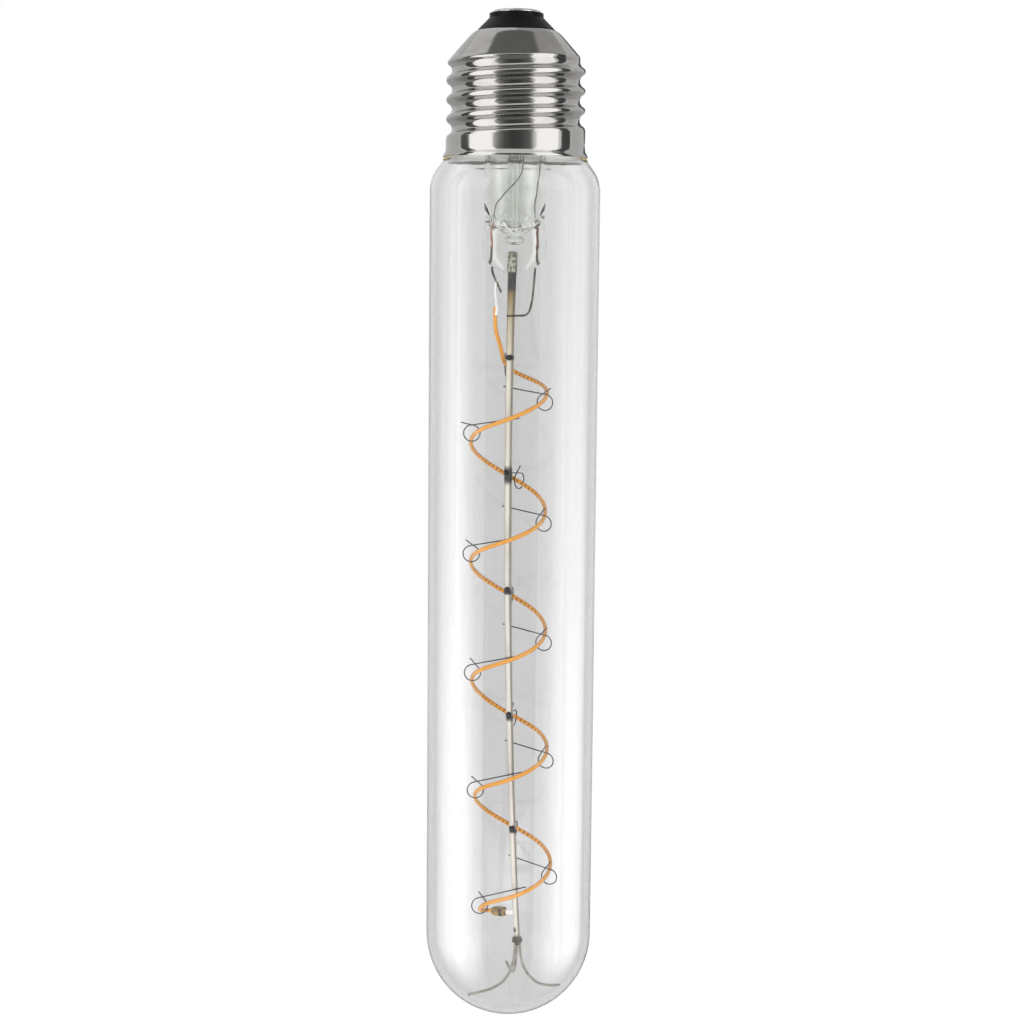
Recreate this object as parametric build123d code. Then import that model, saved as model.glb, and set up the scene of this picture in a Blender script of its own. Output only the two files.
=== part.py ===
from build123d import *
import os
from math import atan2, cos, degrees, radians, sin, sqrt, tan

# Clear tubular lamp with a screw cap and a spiral filament, cap up, in millimetres.
# The origin is the middle of the tip contact's outer face, +Z points up out of the cap and -Y is the front.

# Cap, after the E27 screw cap
CONTACT_RADIUS = 4.6
CONTACT_PROUD = 0.6
CONTACT_BEVEL = 0.35
RIVET_RADIUS = 1.3
RIVET_TAIL = 0.6
INSULATOR_LIP_RADIUS = 5.1
INSULATOR_LIP_HEIGHT = 0.9
INSULATOR_CONE_HEIGHT = 2.4
INSULATOR_PLUG_HEIGHT = 2.2
PLUG_CLEARANCE = 0.1
SHELL_WALL = 0.3
SHELL_TOP_RADIUS = 7.5
SHELL_CONE_HEIGHT = 6.4
THREAD_MAJOR_RADIUS = 13.15
THREAD_DEPTH = 1.05
THREAD_PITCH = 3.629
THREAD_LENGTH = 13.2
THREAD_CREST_WIDTH = 0.7
THREAD_ROOT_WIDTH = 0.9
THREAD_RUN_OUT = 1.3
THREAD_TUCK = 0.45
THREAD_ROOT_SINK = 0.1
SKIRT_PROUD = 0.05
SKIRT_HEIGHT = 2.8
RIM_FLARE = 0.55
RIM_HEIGHT = 1.2
CEMENT_BEAD = 0.3
CEMENT_STOP = 1.0

# Glass envelope
GLASS_RADIUS = 16.2
GLASS_WALL = 0.8
NECK_CLEARANCE = 0.4
NECK_INSERT = 11.0
RIM_CLEARANCE = 0.175
SHOULDER_ROUND = 7.0
SHOULDER_ANGLE = 36.0
GLASS_TUBE_LENGTH = 144.8

# Glass stem and exhaust tube
STEM_RADIUS = 5.9
STEM_WALL = 0.9
FLARE_HEIGHT = 4.4
STEM_TUBE_LENGTH = 13.0
PINCH_LENGTH = 5.5
PRESS_THICKNESS = 4.8
PRESS_HEIGHT = 9.6
PRESS_CORNER = 4.0
PINCH_WALL = 0.6
EXHAUST_RADIUS = 1.5
EXHAUST_WALL = 0.6
EXHAUST_TIP_GAP = 3.0
EXHAUST_TAPER = 2.0
EXHAUST_TIP_RADIUS = 0.5

# Lead-in wires
WIRE_SIDES = 6
LEAD_OFFSET = 4.2
OUTER_LEAD_RADIUS = 0.15
SEAL_WIRE_RADIUS = 0.22
SEAL_WIRE_LENGTH = 5.1
INNER_LEAD_RADIUS = 0.3
LEAD_BEND = 1.2
LEAD_STUB = 0.8
LEFT_LEAD_REACH = 1.7
LEFT_LEAD_DROP = 3.8
RIGHT_LEAD_REACH = 3.3
RIGHT_LEAD_DROP = 8.2
RIGHT_LEAD_END = 0.9
OUTER_LEFT_SHIFT = 1.6
OUTER_RIGHT_SHIFT = 5.2
LEAD_GAP = 0.15

# Mast
MAST_RADIUS = 0.62
MAST_FOOT_DROP = 1.9
MAST_SEAL = 3.7
MAST_TOP_SHIFT = -0.3
MAST_BOTTOM_SHIFT = 1.8
MAST_BOW = 1.35
BEAD_RADIUS = 1.15

# Filament and its ends
COIL_RADIUS = 7.2
COIL_TURNS = 5
FIRST_EYE_DROP = 17.5
STEP_BACK_TO_RIGHT = 7.0
STEP_RIGHT_TO_LEFT = 6.0
LAST_EYE_RISE = 8.2
FILAMENT_RADIUS = 0.45
FILAMENT_SIDES = 6
FILAMENT_TOP_RISE = 10.8
FILAMENT_RUN = 2.0
TOP_BENDS = [(0.15, 182.0, 3.0), (0.58, 120.0, 4.3), (0.96, 99.0, 7.1)]
FOOT_BENDS = [(0.35, 12.0, 7.2), (0.65, 23.0, 7.1), (0.9, 35.0, 6.5)]
END_STRAIGHT = 0.3
TAB_OFFSET = 3.6
TAB_WIDTH = 0.8
TAB_THICKNESS = 0.25
TAB_LENGTH = 5.2
END_AZIMUTH = 166.0
END_DROP = 2.6
END_RADIUS = 4.8
FERRULE_LENGTH = 2.7
FERRULE_HEIGHT = 1.9
FERRULE_DEPTH = 1.3
FERRULE_ROUND = 0.3

# Support hooks, three to a turn
HOOK_AZIMUTHS = {"back": 90.0, "right": -30.0, "left": -150.0}
HOOK_WIRE_RADIUS = 0.15
HOOK_STUB = 1.6
HOOK_SLOPE = 6.0
HOOK_WELD_SINK = 0.1
EYE_RADIUS = 1.55
EYE_CLEARANCE = 0.25
EYE_TURN = 300.0
EYE_CHORDS = 10
EYE_LEAD = 0.5
EYE_TAIL = 2.6

# Spring legs
LEG_AZIMUTHS = {"right": -19.0, "back": 101.0, "left": 221.0}
LEG_WIRE_RADIUS = 0.28
LEG_ROOT = 0.5
LEG_KNEE = 1.4
LEG_DROP = 8.3
LEG_TOE_RISE = 0.7
LEG_BEND = 3.5
LEG_CLEARANCE = 0.3

# Driver in the cap
BOARD_INSET = 0.8
BOARD_THICKNESS = 1.0
CHIP_SIZE = (4.9, 3.9, 1.5)
CHIP_PLACE = (-4.6, 4.2)
BRIDGE_SIZE = (4.7, 3.8, 1.6)
BRIDGE_PLACE = (-4.6, -4.2)
CHIP_CHAMFER = 0.25
CAPACITOR_RADIUS = 2.5
CAPACITOR_HEIGHT = 6.0
CAPACITOR_PLACE = (4.6, 4.6)
CAPACITOR_BEVEL = 0.4
FUSE_RADIUS = 1.1
FUSE_LENGTH = 4.5
FUSE_STANDOFF = 0.8
DRIVER_WIRE_RADIUS = 0.3
SHELL_WIRE_PLACE = 9.0
SHELL_WIRE_RISE = 1.5

# Radii of the cap, from the thread inwards and outwards
minor_radius = THREAD_MAJOR_RADIUS - THREAD_DEPTH
bore_radius = minor_radius - SHELL_WALL
neck_radius = bore_radius - NECK_CLEARANCE
skirt_radius = THREAD_MAJOR_RADIUS + SKIRT_PROUD
skirt_bore = skirt_radius - SHELL_WALL
rim_radius = skirt_radius + RIM_FLARE
rim_bore = rim_radius - SHELL_WALL

# Glass shoulder: its cone passes just inside the cap's rim
lean = radians(SHOULDER_ANGLE)
cone_foot_radius = GLASS_RADIUS - SHOULDER_ROUND + SHOULDER_ROUND * cos(lean)
rim_passage = rim_bore - RIM_CLEARANCE
shoulder_drop = (cone_foot_radius - rim_passage) / tan(lean) + SHOULDER_ROUND * sin(lean)

# Levels, stacked down from the contact's face
z_insulator_top = -CONTACT_PROUD
z_insulator_lip = z_insulator_top - INSULATOR_LIP_HEIGHT
z_shell_top = z_insulator_lip - INSULATOR_CONE_HEIGHT
z_plug = z_shell_top - INSULATOR_PLUG_HEIGHT
z_thread_top = z_shell_top - SHELL_CONE_HEIGHT
z_skirt_top = z_thread_top - THREAD_LENGTH
z_rim_top = z_skirt_top - SKIRT_HEIGHT
z_rim = z_rim_top - RIM_HEIGHT
z_neck_top = z_rim + NECK_INSERT
z_board = z_neck_top + STEM_WALL
z_board_top = z_board + BOARD_THICKNESS
z_tube_top = z_rim - shoulder_drop
z_dome = z_tube_top - GLASS_TUBE_LENGTH
z_pinch = z_neck_top - FLARE_HEIGHT - STEM_TUBE_LENGTH
z_press = z_pinch - PINCH_LENGTH
z_press_foot = z_press - PRESS_HEIGHT
z_seal_foot = z_press - SEAL_WIRE_LENGTH
z_mast_top = z_press_foot + MAST_SEAL
z_mast_foot = z_dome - MAST_FOOT_DROP
z_first_eye = z_press_foot - FIRST_EYE_DROP
z_last_eye = z_mast_foot + LAST_EYE_RISE

nodes = {}


def turned(*points):
    """The solid turned about the Z axis from an outline of (radius, height) points."""
    return revolve(make_face(Polyline([(r, 0, z) for r, z in points], close=True)), Axis.Z)


def wire_along(path, radius, sides=WIRE_SIDES, transition=Transition.TRANSFORMED):
    """A wire of a few flats carried along a path."""
    section = Plane(path @ 0, z_dir=path % 0) * RegularPolygon(radius, sides)
    return sweep(section, path=path, transition=transition)


def polar(radius, azimuth, height=0.0):
    """A point given by its radius, its azimuth in degrees and its height."""
    return Vector(radius * cos(radians(azimuth)), radius * sin(radians(azimuth)), height)


# Cap shell: a cone, a rolled thread, a plain skirt and a flared rim in thin sheet
cone_slope = (THREAD_MAJOR_RADIUS - SHELL_TOP_RADIUS) / SHELL_CONE_HEIGHT
cone_wall = SHELL_WALL * sqrt(1 + cone_slope**2)


def cone_height(radius):
    """The height at which the cap's cone has this radius."""
    return z_shell_top - (radius - SHELL_TOP_RADIUS) / cone_slope


def thread_ridge():
    """One helical ridge of trapezoid section that runs out into the cone above and the skirt below."""
    base = THREAD_PITCH - THREAD_ROOT_WIDTH
    flank = (base - THREAD_CREST_WIDTH) / 2 / THREAD_DEPTH
    root = base + 2 * flank * THREAD_ROOT_SINK
    start = z_skirt_top + THREAD_RUN_OUT - THREAD_PITCH
    helix = Helix(THREAD_PITCH, THREAD_LENGTH + 2 * THREAD_PITCH, minor_radius, center=(0, 0, start))
    outline = [
        (-THREAD_ROOT_SINK, -root / 2),
        (THREAD_DEPTH, -THREAD_CREST_WIDTH / 2),
        (THREAD_DEPTH, THREAD_CREST_WIDTH / 2),
        (-THREAD_ROOT_SINK, root / 2),
    ]
    at_start = Plane(origin=(minor_radius, 0, start), x_dir=(1, 0, 0), z_dir=(0, -1, 0))
    section = at_start * make_face(Polyline(outline, close=True))
    ridge = sweep(section, path=helix, is_frenet=True)
    z_tuck = z_skirt_top - THREAD_TUCK
    limit = turned(
        (0, z_shell_top),
        (SHELL_TOP_RADIUS, z_shell_top),
        (rim_radius, cone_height(rim_radius)),
        (rim_radius, z_tuck),
        (0, z_tuck),
    )
    return ridge & limit


def cap_bore(z_foot):
    """The inside of the cap shell, carried down past the rim to a given level."""
    return turned(
        (0, z_shell_top),
        (SHELL_TOP_RADIUS - cone_wall, z_shell_top),
        (bore_radius, cone_height(bore_radius + cone_wall)),
        (bore_radius, z_skirt_top),
        (skirt_bore, z_skirt_top - (skirt_bore - bore_radius)),
        (skirt_bore, z_rim_top),
        (rim_bore, z_rim),
        (rim_bore, z_foot),
        (0, z_foot),
    )


core = turned(
    (0, z_shell_top),
    (SHELL_TOP_RADIUS, z_shell_top),
    (minor_radius, cone_height(minor_radius)),
    (minor_radius, z_skirt_top),
    (skirt_radius, z_skirt_top - (skirt_radius - minor_radius) / 2),
    (skirt_radius, z_rim_top),
    (rim_radius, z_rim),
    (0, z_rim),
)
nodes["cap_shell"] = core + thread_ridge() - cap_bore(z_rim - SHELL_WALL)

# Cap insulator: a moulded collar that plugs the top of the shell
plug_top = SHELL_TOP_RADIUS - cone_wall - PLUG_CLEARANCE
nodes["cap_insulator"] = turned(
    (RIVET_RADIUS, z_insulator_top),
    (INSULATOR_LIP_RADIUS, z_insulator_top),
    (INSULATOR_LIP_RADIUS, z_insulator_lip),
    (SHELL_TOP_RADIUS, z_shell_top),
    (plug_top, z_shell_top),
    (plug_top + INSULATOR_PLUG_HEIGHT * cone_slope, z_plug),
    (RIVET_RADIUS, z_plug),
)

# Centre contact: a plated disc with a rivet through the insulator
disc = Pos(0, 0, z_insulator_top) * Cylinder(
    CONTACT_RADIUS, CONTACT_PROUD, align=(Align.CENTER, Align.CENTER, Align.MIN)
)
disc = chamfer(disc.edges().group_by(Axis.Z)[-1], CONTACT_BEVEL)
z_rivet_foot = z_plug - RIVET_TAIL
rivet = turned(
    (0, z_insulator_top),
    (RIVET_RADIUS, z_insulator_top),
    (RIVET_RADIUS, z_rivet_foot),
    (0, z_rivet_foot),
)
nodes["centre_contact"] = disc + rivet


# Glass envelope: a drawn tube with a domed end, a shoulder and a neck, of even wall
def envelope_solid(inset):
    """The envelope's outer form moved inwards by inset, solid and with its neck cut off square."""
    radius = GLASS_RADIUS - inset
    neck = neck_radius - inset
    shoulder_round = SHOULDER_ROUND - inset
    shoulder = Vector(GLASS_RADIUS - SHOULDER_ROUND, 0, z_tube_top)
    foot = Vector(0, 0, z_dome - radius)
    diagonal = Vector(0, 0, z_dome) + Vector(1, 0, -1).normalized() * radius
    side = Vector(radius, 0, z_dome)
    tube_top = Vector(radius, 0, z_tube_top)
    shoulder_middle = shoulder + Vector(cos(lean / 2), 0, sin(lean / 2)) * shoulder_round
    cone_foot = shoulder + Vector(cos(lean), 0, sin(lean)) * shoulder_round
    neck_foot = Vector(neck, 0, cone_foot.Z + (cone_foot.X - neck) / tan(lean))
    neck_top = Vector(neck, 0, z_neck_top)
    centre_top = Vector(0, 0, z_neck_top)
    outline = [
        ThreePointArc(foot, diagonal, side),
        Line(side, tube_top),
        ThreePointArc(tube_top, shoulder_middle, cone_foot),
        Line(cone_foot, neck_foot),
        Line(neck_foot, neck_top),
        Line(neck_top, centre_top),
        Line(centre_top, foot),
    ]
    return revolve(make_face(outline), Axis.Z)


glass_block = envelope_solid(0)
nodes["glass_envelope"] = glass_block - envelope_solid(GLASS_WALL)

# Cap cement: fills the space between the neck and the shell and stands a little out of the rim
z_bead = z_rim - CEMENT_BEAD
cement_stop = Pos(0, 0, z_neck_top - CEMENT_STOP) * Cylinder(
    skirt_radius, THREAD_LENGTH + SHELL_CONE_HEIGHT, align=(Align.CENTER, Align.CENTER, Align.MIN)
)
nodes["cap_cement"] = cap_bore(z_bead) - glass_block - cement_stop


# Lead-in wires: copper outside, a short seal wire in the press and nickel inside
def lead(points, radius):
    """A bent lead through the given points."""
    return wire_along(FilletPolyline(points, radius=LEAD_BEND), radius)


z_lead_top = z_board_top + LEAD_STUB
exhaust_reach = EXHAUST_RADIUS + OUTER_LEAD_RADIUS + LEAD_GAP
z_cross_foot = z_press + PINCH_LENGTH / 2
z_cross_top = z_cross_foot + PINCH_LENGTH
nodes["outer_lead_left"] = lead(
    [
        (-LEAD_OFFSET, 0, z_press),
        (-LEAD_OFFSET, 0, z_press + LEAD_STUB),
        (-LEAD_OFFSET + OUTER_LEAD_RADIUS, -exhaust_reach, z_cross_foot),
        (OUTER_LEFT_SHIFT, -exhaust_reach, z_cross_top),
        (OUTER_LEFT_SHIFT, -exhaust_reach, z_lead_top),
    ],
    OUTER_LEAD_RADIUS,
)
flare_mouth = z_neck_top - FLARE_HEIGHT / 2
nodes["outer_lead_right"] = lead(
    [
        (LEAD_OFFSET, 0, z_press),
        (LEAD_OFFSET, 0, flare_mouth),
        (OUTER_RIGHT_SHIFT, 0, z_neck_top),
        (OUTER_RIGHT_SHIFT, 0, z_lead_top),
    ],
    OUTER_LEAD_RADIUS,
)
for side, sign in {"left": -1, "right": 1}.items():
    seal = Line((sign * LEAD_OFFSET, 0, z_press), (sign * LEAD_OFFSET, 0, z_seal_foot))
    nodes["seal_wire_" + side] = wire_along(seal, SEAL_WIRE_RADIUS)


# Mast: a straight rod bent to a gentle bow, sealed in the press, with a weld bead at its foot
def mast_point(z):
    """The mast's middle at a level: the chord from top to foot and the bow on it."""
    share = (z_mast_top - z) / (z_mast_top - z_mast_foot)
    chord = MAST_TOP_SHIFT + (MAST_BOTTOM_SHIFT - MAST_TOP_SHIFT) * share
    return Vector(chord - MAST_BOW * 4 * share * (1 - share), 0, z)


mast_line = ThreePointArc(
    mast_point(z_mast_top), mast_point((z_mast_top + z_mast_foot) / 2), mast_point(z_mast_foot)
)
rod = sweep(Plane(mast_line @ 0, z_dir=mast_line % 0) * Circle(MAST_RADIUS), path=mast_line)
nodes["mast"] = rod + Pos(mast_point(z_mast_foot)) * Sphere(BEAD_RADIUS)

z_left_knee = z_press_foot - INNER_LEAD_RADIUS
nodes["inner_lead_left"] = lead(
    [
        (-LEAD_OFFSET, 0, z_seal_foot),
        (-LEAD_OFFSET, 0, z_left_knee),
        (-LEAD_OFFSET + LEFT_LEAD_REACH, 0, z_press_foot - LEFT_LEAD_DROP),
    ],
    INNER_LEAD_RADIUS,
)
z_right_end = z_press_foot - RIGHT_LEAD_DROP
lead_front = -MAST_RADIUS - INNER_LEAD_RADIUS + HOOK_WELD_SINK
nodes["inner_lead_right"] = lead(
    [
        (LEAD_OFFSET, 0, z_seal_foot),
        (LEAD_OFFSET, 0, z_left_knee),
        (RIGHT_LEAD_REACH, lead_front, z_right_end),
        (mast_point(z_right_end).X - RIGHT_LEAD_END, lead_front, z_right_end),
    ],
    INNER_LEAD_RADIUS,
) - nodes["mast"]


# Glass stem: a flared tube pinched flat round the wires and the mast
def pinch(radius, half_foot):
    """A length of round rod squeezed towards its foot by two flat jaws, front and back."""
    length = z_pinch - z_press
    rod = Pos(0, 0, z_press) * Cylinder(radius, length, align=(Align.CENTER, Align.CENTER, Align.MIN))
    outline = [
        (0, -radius, z_pinch),
        (0, radius, z_pinch),
        (0, half_foot, z_press),
        (0, -half_foot, z_press),
    ]
    jaws = extrude(make_face(Polyline(outline, close=True)), radius, dir=(1, 0, 0), both=True)
    return rod & jaws


z_waist = z_neck_top - FLARE_HEIGHT
stem_bore = STEM_RADIUS - STEM_WALL
neck_bore = neck_radius - GLASS_WALL
flare_slope = (neck_bore - STEM_RADIUS) / FLARE_HEIGHT
stem = turned(
    (STEM_RADIUS, z_pinch),
    (STEM_RADIUS, z_waist),
    (neck_bore, z_neck_top),
    (neck_radius, z_neck_top),
    (neck_radius, z_board),
    (stem_bore + (z_board - z_waist) * flare_slope, z_board),
    (stem_bore, z_waist),
    (stem_bore, z_pinch),
)
stem += pinch(STEM_RADIUS, PRESS_THICKNESS / 2)
stem -= pinch(stem_bore, PRESS_THICKNESS / 2 - PINCH_WALL)
press = Pos(0, 0, z_press_foot) * Box(
    2 * STEM_RADIUS, PRESS_THICKNESS, PRESS_HEIGHT, align=(Align.CENTER, Align.CENTER, Align.MIN)
)
press = fillet(press.edges().filter_by(Axis.Y).group_by(Axis.Z)[0], PRESS_CORNER)
press &= Pos(0, 0, z_press_foot) * Cylinder(
    STEM_RADIUS, PRESS_HEIGHT, align=(Align.CENTER, Align.CENTER, Align.MIN)
)
stem += press
for held in ("seal_wire_left", "seal_wire_right", "inner_lead_left", "inner_lead_right", "mast"):
    stem -= nodes[held]
nodes["glass_stem"] = stem

# Exhaust tube: stands on the floor of the pinch and is drawn to a point and melted shut at its tip
z_tip = z_neck_top - EXHAUST_TIP_GAP
z_taper = z_tip - EXHAUST_TAPER
exhaust_bore = EXHAUST_RADIUS - EXHAUST_WALL
nodes["exhaust_tube"] = turned(
    (exhaust_bore, z_press),
    (EXHAUST_RADIUS, z_press),
    (EXHAUST_RADIUS, z_taper),
    (EXHAUST_TIP_RADIUS, z_tip),
    (0, z_tip),
    (0, z_taper),
    (exhaust_bore, z_taper),
)

# Filament: one strip through every eye, three eyes to a turn
last_turn_drop = STEP_BACK_TO_RIGHT + STEP_RIGHT_TO_LEFT
turn_drop = (z_first_eye - z_last_eye - last_turn_drop) / (COIL_TURNS - 1)
eyes = []
for turn in range(COIL_TURNS):
    z_back = z_first_eye - turn * turn_drop
    z_right = z_back - STEP_BACK_TO_RIGHT
    z_left = z_right - STEP_RIGHT_TO_LEFT
    levels = {"back": z_back, "right": z_right, "left": z_left}
    for place, azimuth in HOOK_AZIMUTHS.items():
        eyes.append((place, turn + 1, azimuth - 360 * turn, levels[place]))


def coil_point(azimuth, z, radius=COIL_RADIUS):
    """A point on the filament, about the mast's middle at that level."""
    return mast_point(z) + polar(radius, azimuth)


def strip_section(point, ahead):
    """The filament's section square to its run, with one corner up and away from the mast."""
    outward = (point - mast_point(point.Z)).normalized()
    corner = outward + Vector(0, 0, 1)
    return Plane(point, x_dir=corner, z_dir=ahead) * RegularPolygon(FILAMENT_RADIUS, FILAMENT_SIDES)


z_filament_top = z_first_eye + FILAMENT_TOP_RISE
tab_front = -INNER_LEAD_RADIUS - TAB_THICKNESS / 2
top_end = Vector(-TAB_OFFSET, tab_front, z_filament_top)
last_azimuth, last_z = eyes[-1][2], eyes[-1][3]
foot_end = coil_point(END_AZIMUTH, last_z - END_DROP, END_RADIUS)
inward = polar(-1, END_AZIMUTH)
route = [top_end - Vector(0, 0, END_STRAIGHT)]
for share, azimuth, radius in TOP_BENDS:
    route.append(coil_point(azimuth, z_filament_top - FILAMENT_TOP_RISE * share, radius))
for here, after in zip(eyes, eyes[1:]):
    route.append(coil_point(here[2], here[3]))
    route.append(coil_point((here[2] + after[2]) / 2, (here[3] + after[3]) / 2))
route.append(coil_point(last_azimuth, last_z))
for share, turn, radius in FOOT_BENDS:
    route.append(coil_point(last_azimuth - turn, last_z - END_DROP * share, radius))
route.append(foot_end - inward * END_STRAIGHT)
curve = Spline(route)
runs = round(curve.length / FILAMENT_RUN)
sections = [strip_section(top_end, Vector(0, 0, -1))]
for step in range(runs + 1):
    sections.append(strip_section(curve @ (step / runs), curve % (step / runs)))
sections.append(strip_section(foot_end, inward))
nodes["filament"] = loft(sections, ruled=True)

# Filament ends: a tab up to the left lead, a ferrule and a tab across to the mast
nodes["filament_tab_top"] = Pos(top_end) * Box(
    TAB_WIDTH, TAB_THICKNESS, TAB_LENGTH, align=(Align.CENTER, Align.CENTER, Align.MIN)
)
towards_mast = Location(foot_end, (0, 0, END_AZIMUTH + 180))
ferrule = Box(FERRULE_LENGTH, FERRULE_DEPTH, FERRULE_HEIGHT, align=(Align.MIN, Align.CENTER, Align.CENTER))
ferrule = fillet(ferrule.edges().filter_by(Axis.X), FERRULE_ROUND)
nodes["filament_ferrule"] = towards_mast * ferrule
tab = Pos(FERRULE_LENGTH, 0, 0) * Box(
    END_RADIUS - FERRULE_LENGTH, TAB_THICKNESS, TAB_WIDTH, align=(Align.MIN, Align.CENTER, Align.CENTER)
)
nodes["filament_tab_bottom"] = towards_mast * tab - nodes["mast"]


# Support hooks: straight wire across the mast with a pigtail eye round the filament
def hook():
    """One hook beside a mast at the origin, with the eye's middle on +X at height zero."""
    slope = radians(HOOK_SLOPE)
    reach = COIL_RADIUS + EYE_RADIUS - HOOK_WIRE_RADIUS - FILAMENT_RADIUS - EYE_CLEARANCE
    side = MAST_RADIUS + HOOK_WIRE_RADIUS - HOOK_WELD_SINK
    touch = Vector(reach + EYE_RADIUS * sin(slope), side, EYE_RADIUS * cos(slope))
    stub = touch - Vector(1, 0, -tan(slope)) * (touch.X + HOOK_STUB)
    points = [stub]
    for step in range(EYE_CHORDS + 1):
        angle = slope + radians(EYE_TURN * step / EYE_CHORDS)
        drift = side + EYE_LEAD * step / EYE_CHORDS
        points.append(Vector(reach + EYE_RADIUS * sin(angle), drift, EYE_RADIUS * cos(angle)))
    ahead = Vector(cos(angle), 0, -sin(angle))
    points.append(points[-1] + ahead * EYE_TAIL)
    wire = wire_along(Polyline(points), HOOK_WIRE_RADIUS, transition=Transition.RIGHT)
    return Rot(0, 0, -degrees(atan2(side + EYE_LEAD / 2, reach))) * wire


plain_hook = hook()
for place, number, azimuth, z in eyes:
    placed = Location(mast_point(z), (0, 0, azimuth)) * plain_hook
    nodes[f"hook_{place}_{number}"] = placed - nodes["mast"]

# Spring legs: three bent wires from the bead to the inside of the dome
foot = mast_point(z_mast_foot)
z_toe = z_mast_foot - LEG_DROP
dome_radius = GLASS_RADIUS - GLASS_WALL
toe_radius = sqrt(dome_radius**2 - (z_dome - z_toe) ** 2) - LEG_WIRE_RADIUS - LEG_CLEARANCE
for place, azimuth in LEG_AZIMUTHS.items():
    along = polar(1, azimuth).dot(Vector(foot.X, 0, 0))
    toe = sqrt(along**2 + toe_radius**2 - foot.X**2) - along
    knee = polar(LEG_KNEE, azimuth, -LEG_DROP - LEG_TOE_RISE)
    path = FilletPolyline(
        [foot + polar(LEG_ROOT, azimuth), foot + knee, foot + polar(toe, azimuth, -LEG_DROP)],
        radius=LEG_BEND,
    )
    nodes["spring_leg_" + place] = wire_along(path, LEG_WIRE_RADIUS) - nodes["mast"]


# Driver: a round board on the flare's rim with its parts on top, wired to the cap's two contacts
def on_board(solid, place):
    """A solid stood on the board at a place."""
    return Pos(place[0], place[1], z_board_top) * solid


def moulded_chip(size):
    """A small moulded package with bevelled top edges."""
    body = Box(*size, align=(Align.CENTER, Align.CENTER, Align.MIN))
    return chamfer(body.edges().group_by(Axis.Z)[-1], CHIP_CHAMFER)


board = Pos(0, 0, z_board) * Cylinder(
    neck_radius - BOARD_INSET, BOARD_THICKNESS, align=(Align.CENTER, Align.CENTER, Align.MIN)
)
nodes["driver_board"] = board - nodes["outer_lead_left"] - nodes["outer_lead_right"]
nodes["driver_chip"] = on_board(moulded_chip(CHIP_SIZE), CHIP_PLACE)
nodes["bridge_rectifier"] = on_board(moulded_chip(BRIDGE_SIZE), BRIDGE_PLACE)
can = Cylinder(CAPACITOR_RADIUS, CAPACITOR_HEIGHT, align=(Align.CENTER, Align.CENTER, Align.MIN))
can = chamfer(can.edges().group_by(Axis.Z)[-1], CAPACITOR_BEVEL)
nodes["smoothing_capacitor"] = on_board(can, CAPACITOR_PLACE)
z_fuse = z_board_top + FUSE_STANDOFF
z_fuse_top = z_fuse + FUSE_LENGTH
nodes["fuse_resistor"] = turned(
    (0, z_board_top),
    (DRIVER_WIRE_RADIUS, z_board_top),
    (DRIVER_WIRE_RADIUS, z_fuse),
    (FUSE_RADIUS, z_fuse),
    (FUSE_RADIUS, z_fuse_top),
    (0, z_fuse_top),
)
nodes["tip_wire"] = wire_along(Line((0, 0, z_fuse_top), (0, 0, z_rivet_foot)), DRIVER_WIRE_RADIUS)
z_shell_wire = z_board_top + SHELL_WIRE_RISE
nodes["shell_wire"] = wire_along(
    FilletPolyline(
        [
            (-SHELL_WIRE_PLACE, 0, z_board_top),
            (-SHELL_WIRE_PLACE, 0, z_shell_wire),
            (-bore_radius, 0, z_shell_wire),
        ],
        radius=LEAD_BEND,
    ),
    DRIVER_WIRE_RADIUS,
) & cap_bore(z_bead)

os.makedirs("parts", exist_ok=True)
for name, solid in nodes.items():
    export_step(solid, f"parts/{name}.step")
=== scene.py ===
import bpy
from mathutils import Matrix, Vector
import numpy as np


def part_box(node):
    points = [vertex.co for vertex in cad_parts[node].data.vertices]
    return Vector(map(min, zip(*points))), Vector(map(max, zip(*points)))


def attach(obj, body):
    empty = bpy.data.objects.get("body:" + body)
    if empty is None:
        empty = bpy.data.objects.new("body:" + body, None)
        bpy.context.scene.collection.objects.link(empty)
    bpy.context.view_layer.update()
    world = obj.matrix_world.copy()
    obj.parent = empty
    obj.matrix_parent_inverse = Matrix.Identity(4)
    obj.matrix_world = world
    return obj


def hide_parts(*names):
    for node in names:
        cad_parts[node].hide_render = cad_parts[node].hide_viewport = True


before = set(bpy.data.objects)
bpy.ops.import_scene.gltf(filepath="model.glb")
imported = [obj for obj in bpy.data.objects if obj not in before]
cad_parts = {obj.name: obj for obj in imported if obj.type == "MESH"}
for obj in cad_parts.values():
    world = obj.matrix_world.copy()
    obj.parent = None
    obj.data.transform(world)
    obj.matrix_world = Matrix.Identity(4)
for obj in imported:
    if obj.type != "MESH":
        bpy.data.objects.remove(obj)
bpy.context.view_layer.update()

# Cap shell: thin sheet drawn to a cup and nickel plated. A round thread is rolled into its side, the mouth is left
# as a plain skirt with a slight flare, and the glass neck is cemented into it.
MM = 0.001
SHELL_TOP, SKIRT_TOP = -3.9, -23.5
SHELL_TOP_RADIUS, CREST_RADIUS, ROOT_RADIUS, SKIRT_RADIUS = 7.5, 13.15, 12.1, 13.2
THREAD_PITCH, LAST_CREST = 3.629, -24.92
NICKEL = (0.5, 0.49, 0.475, 1)
GRIME_AND_SHADE = (0.2, 0.18, 0.155, 1)


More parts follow.
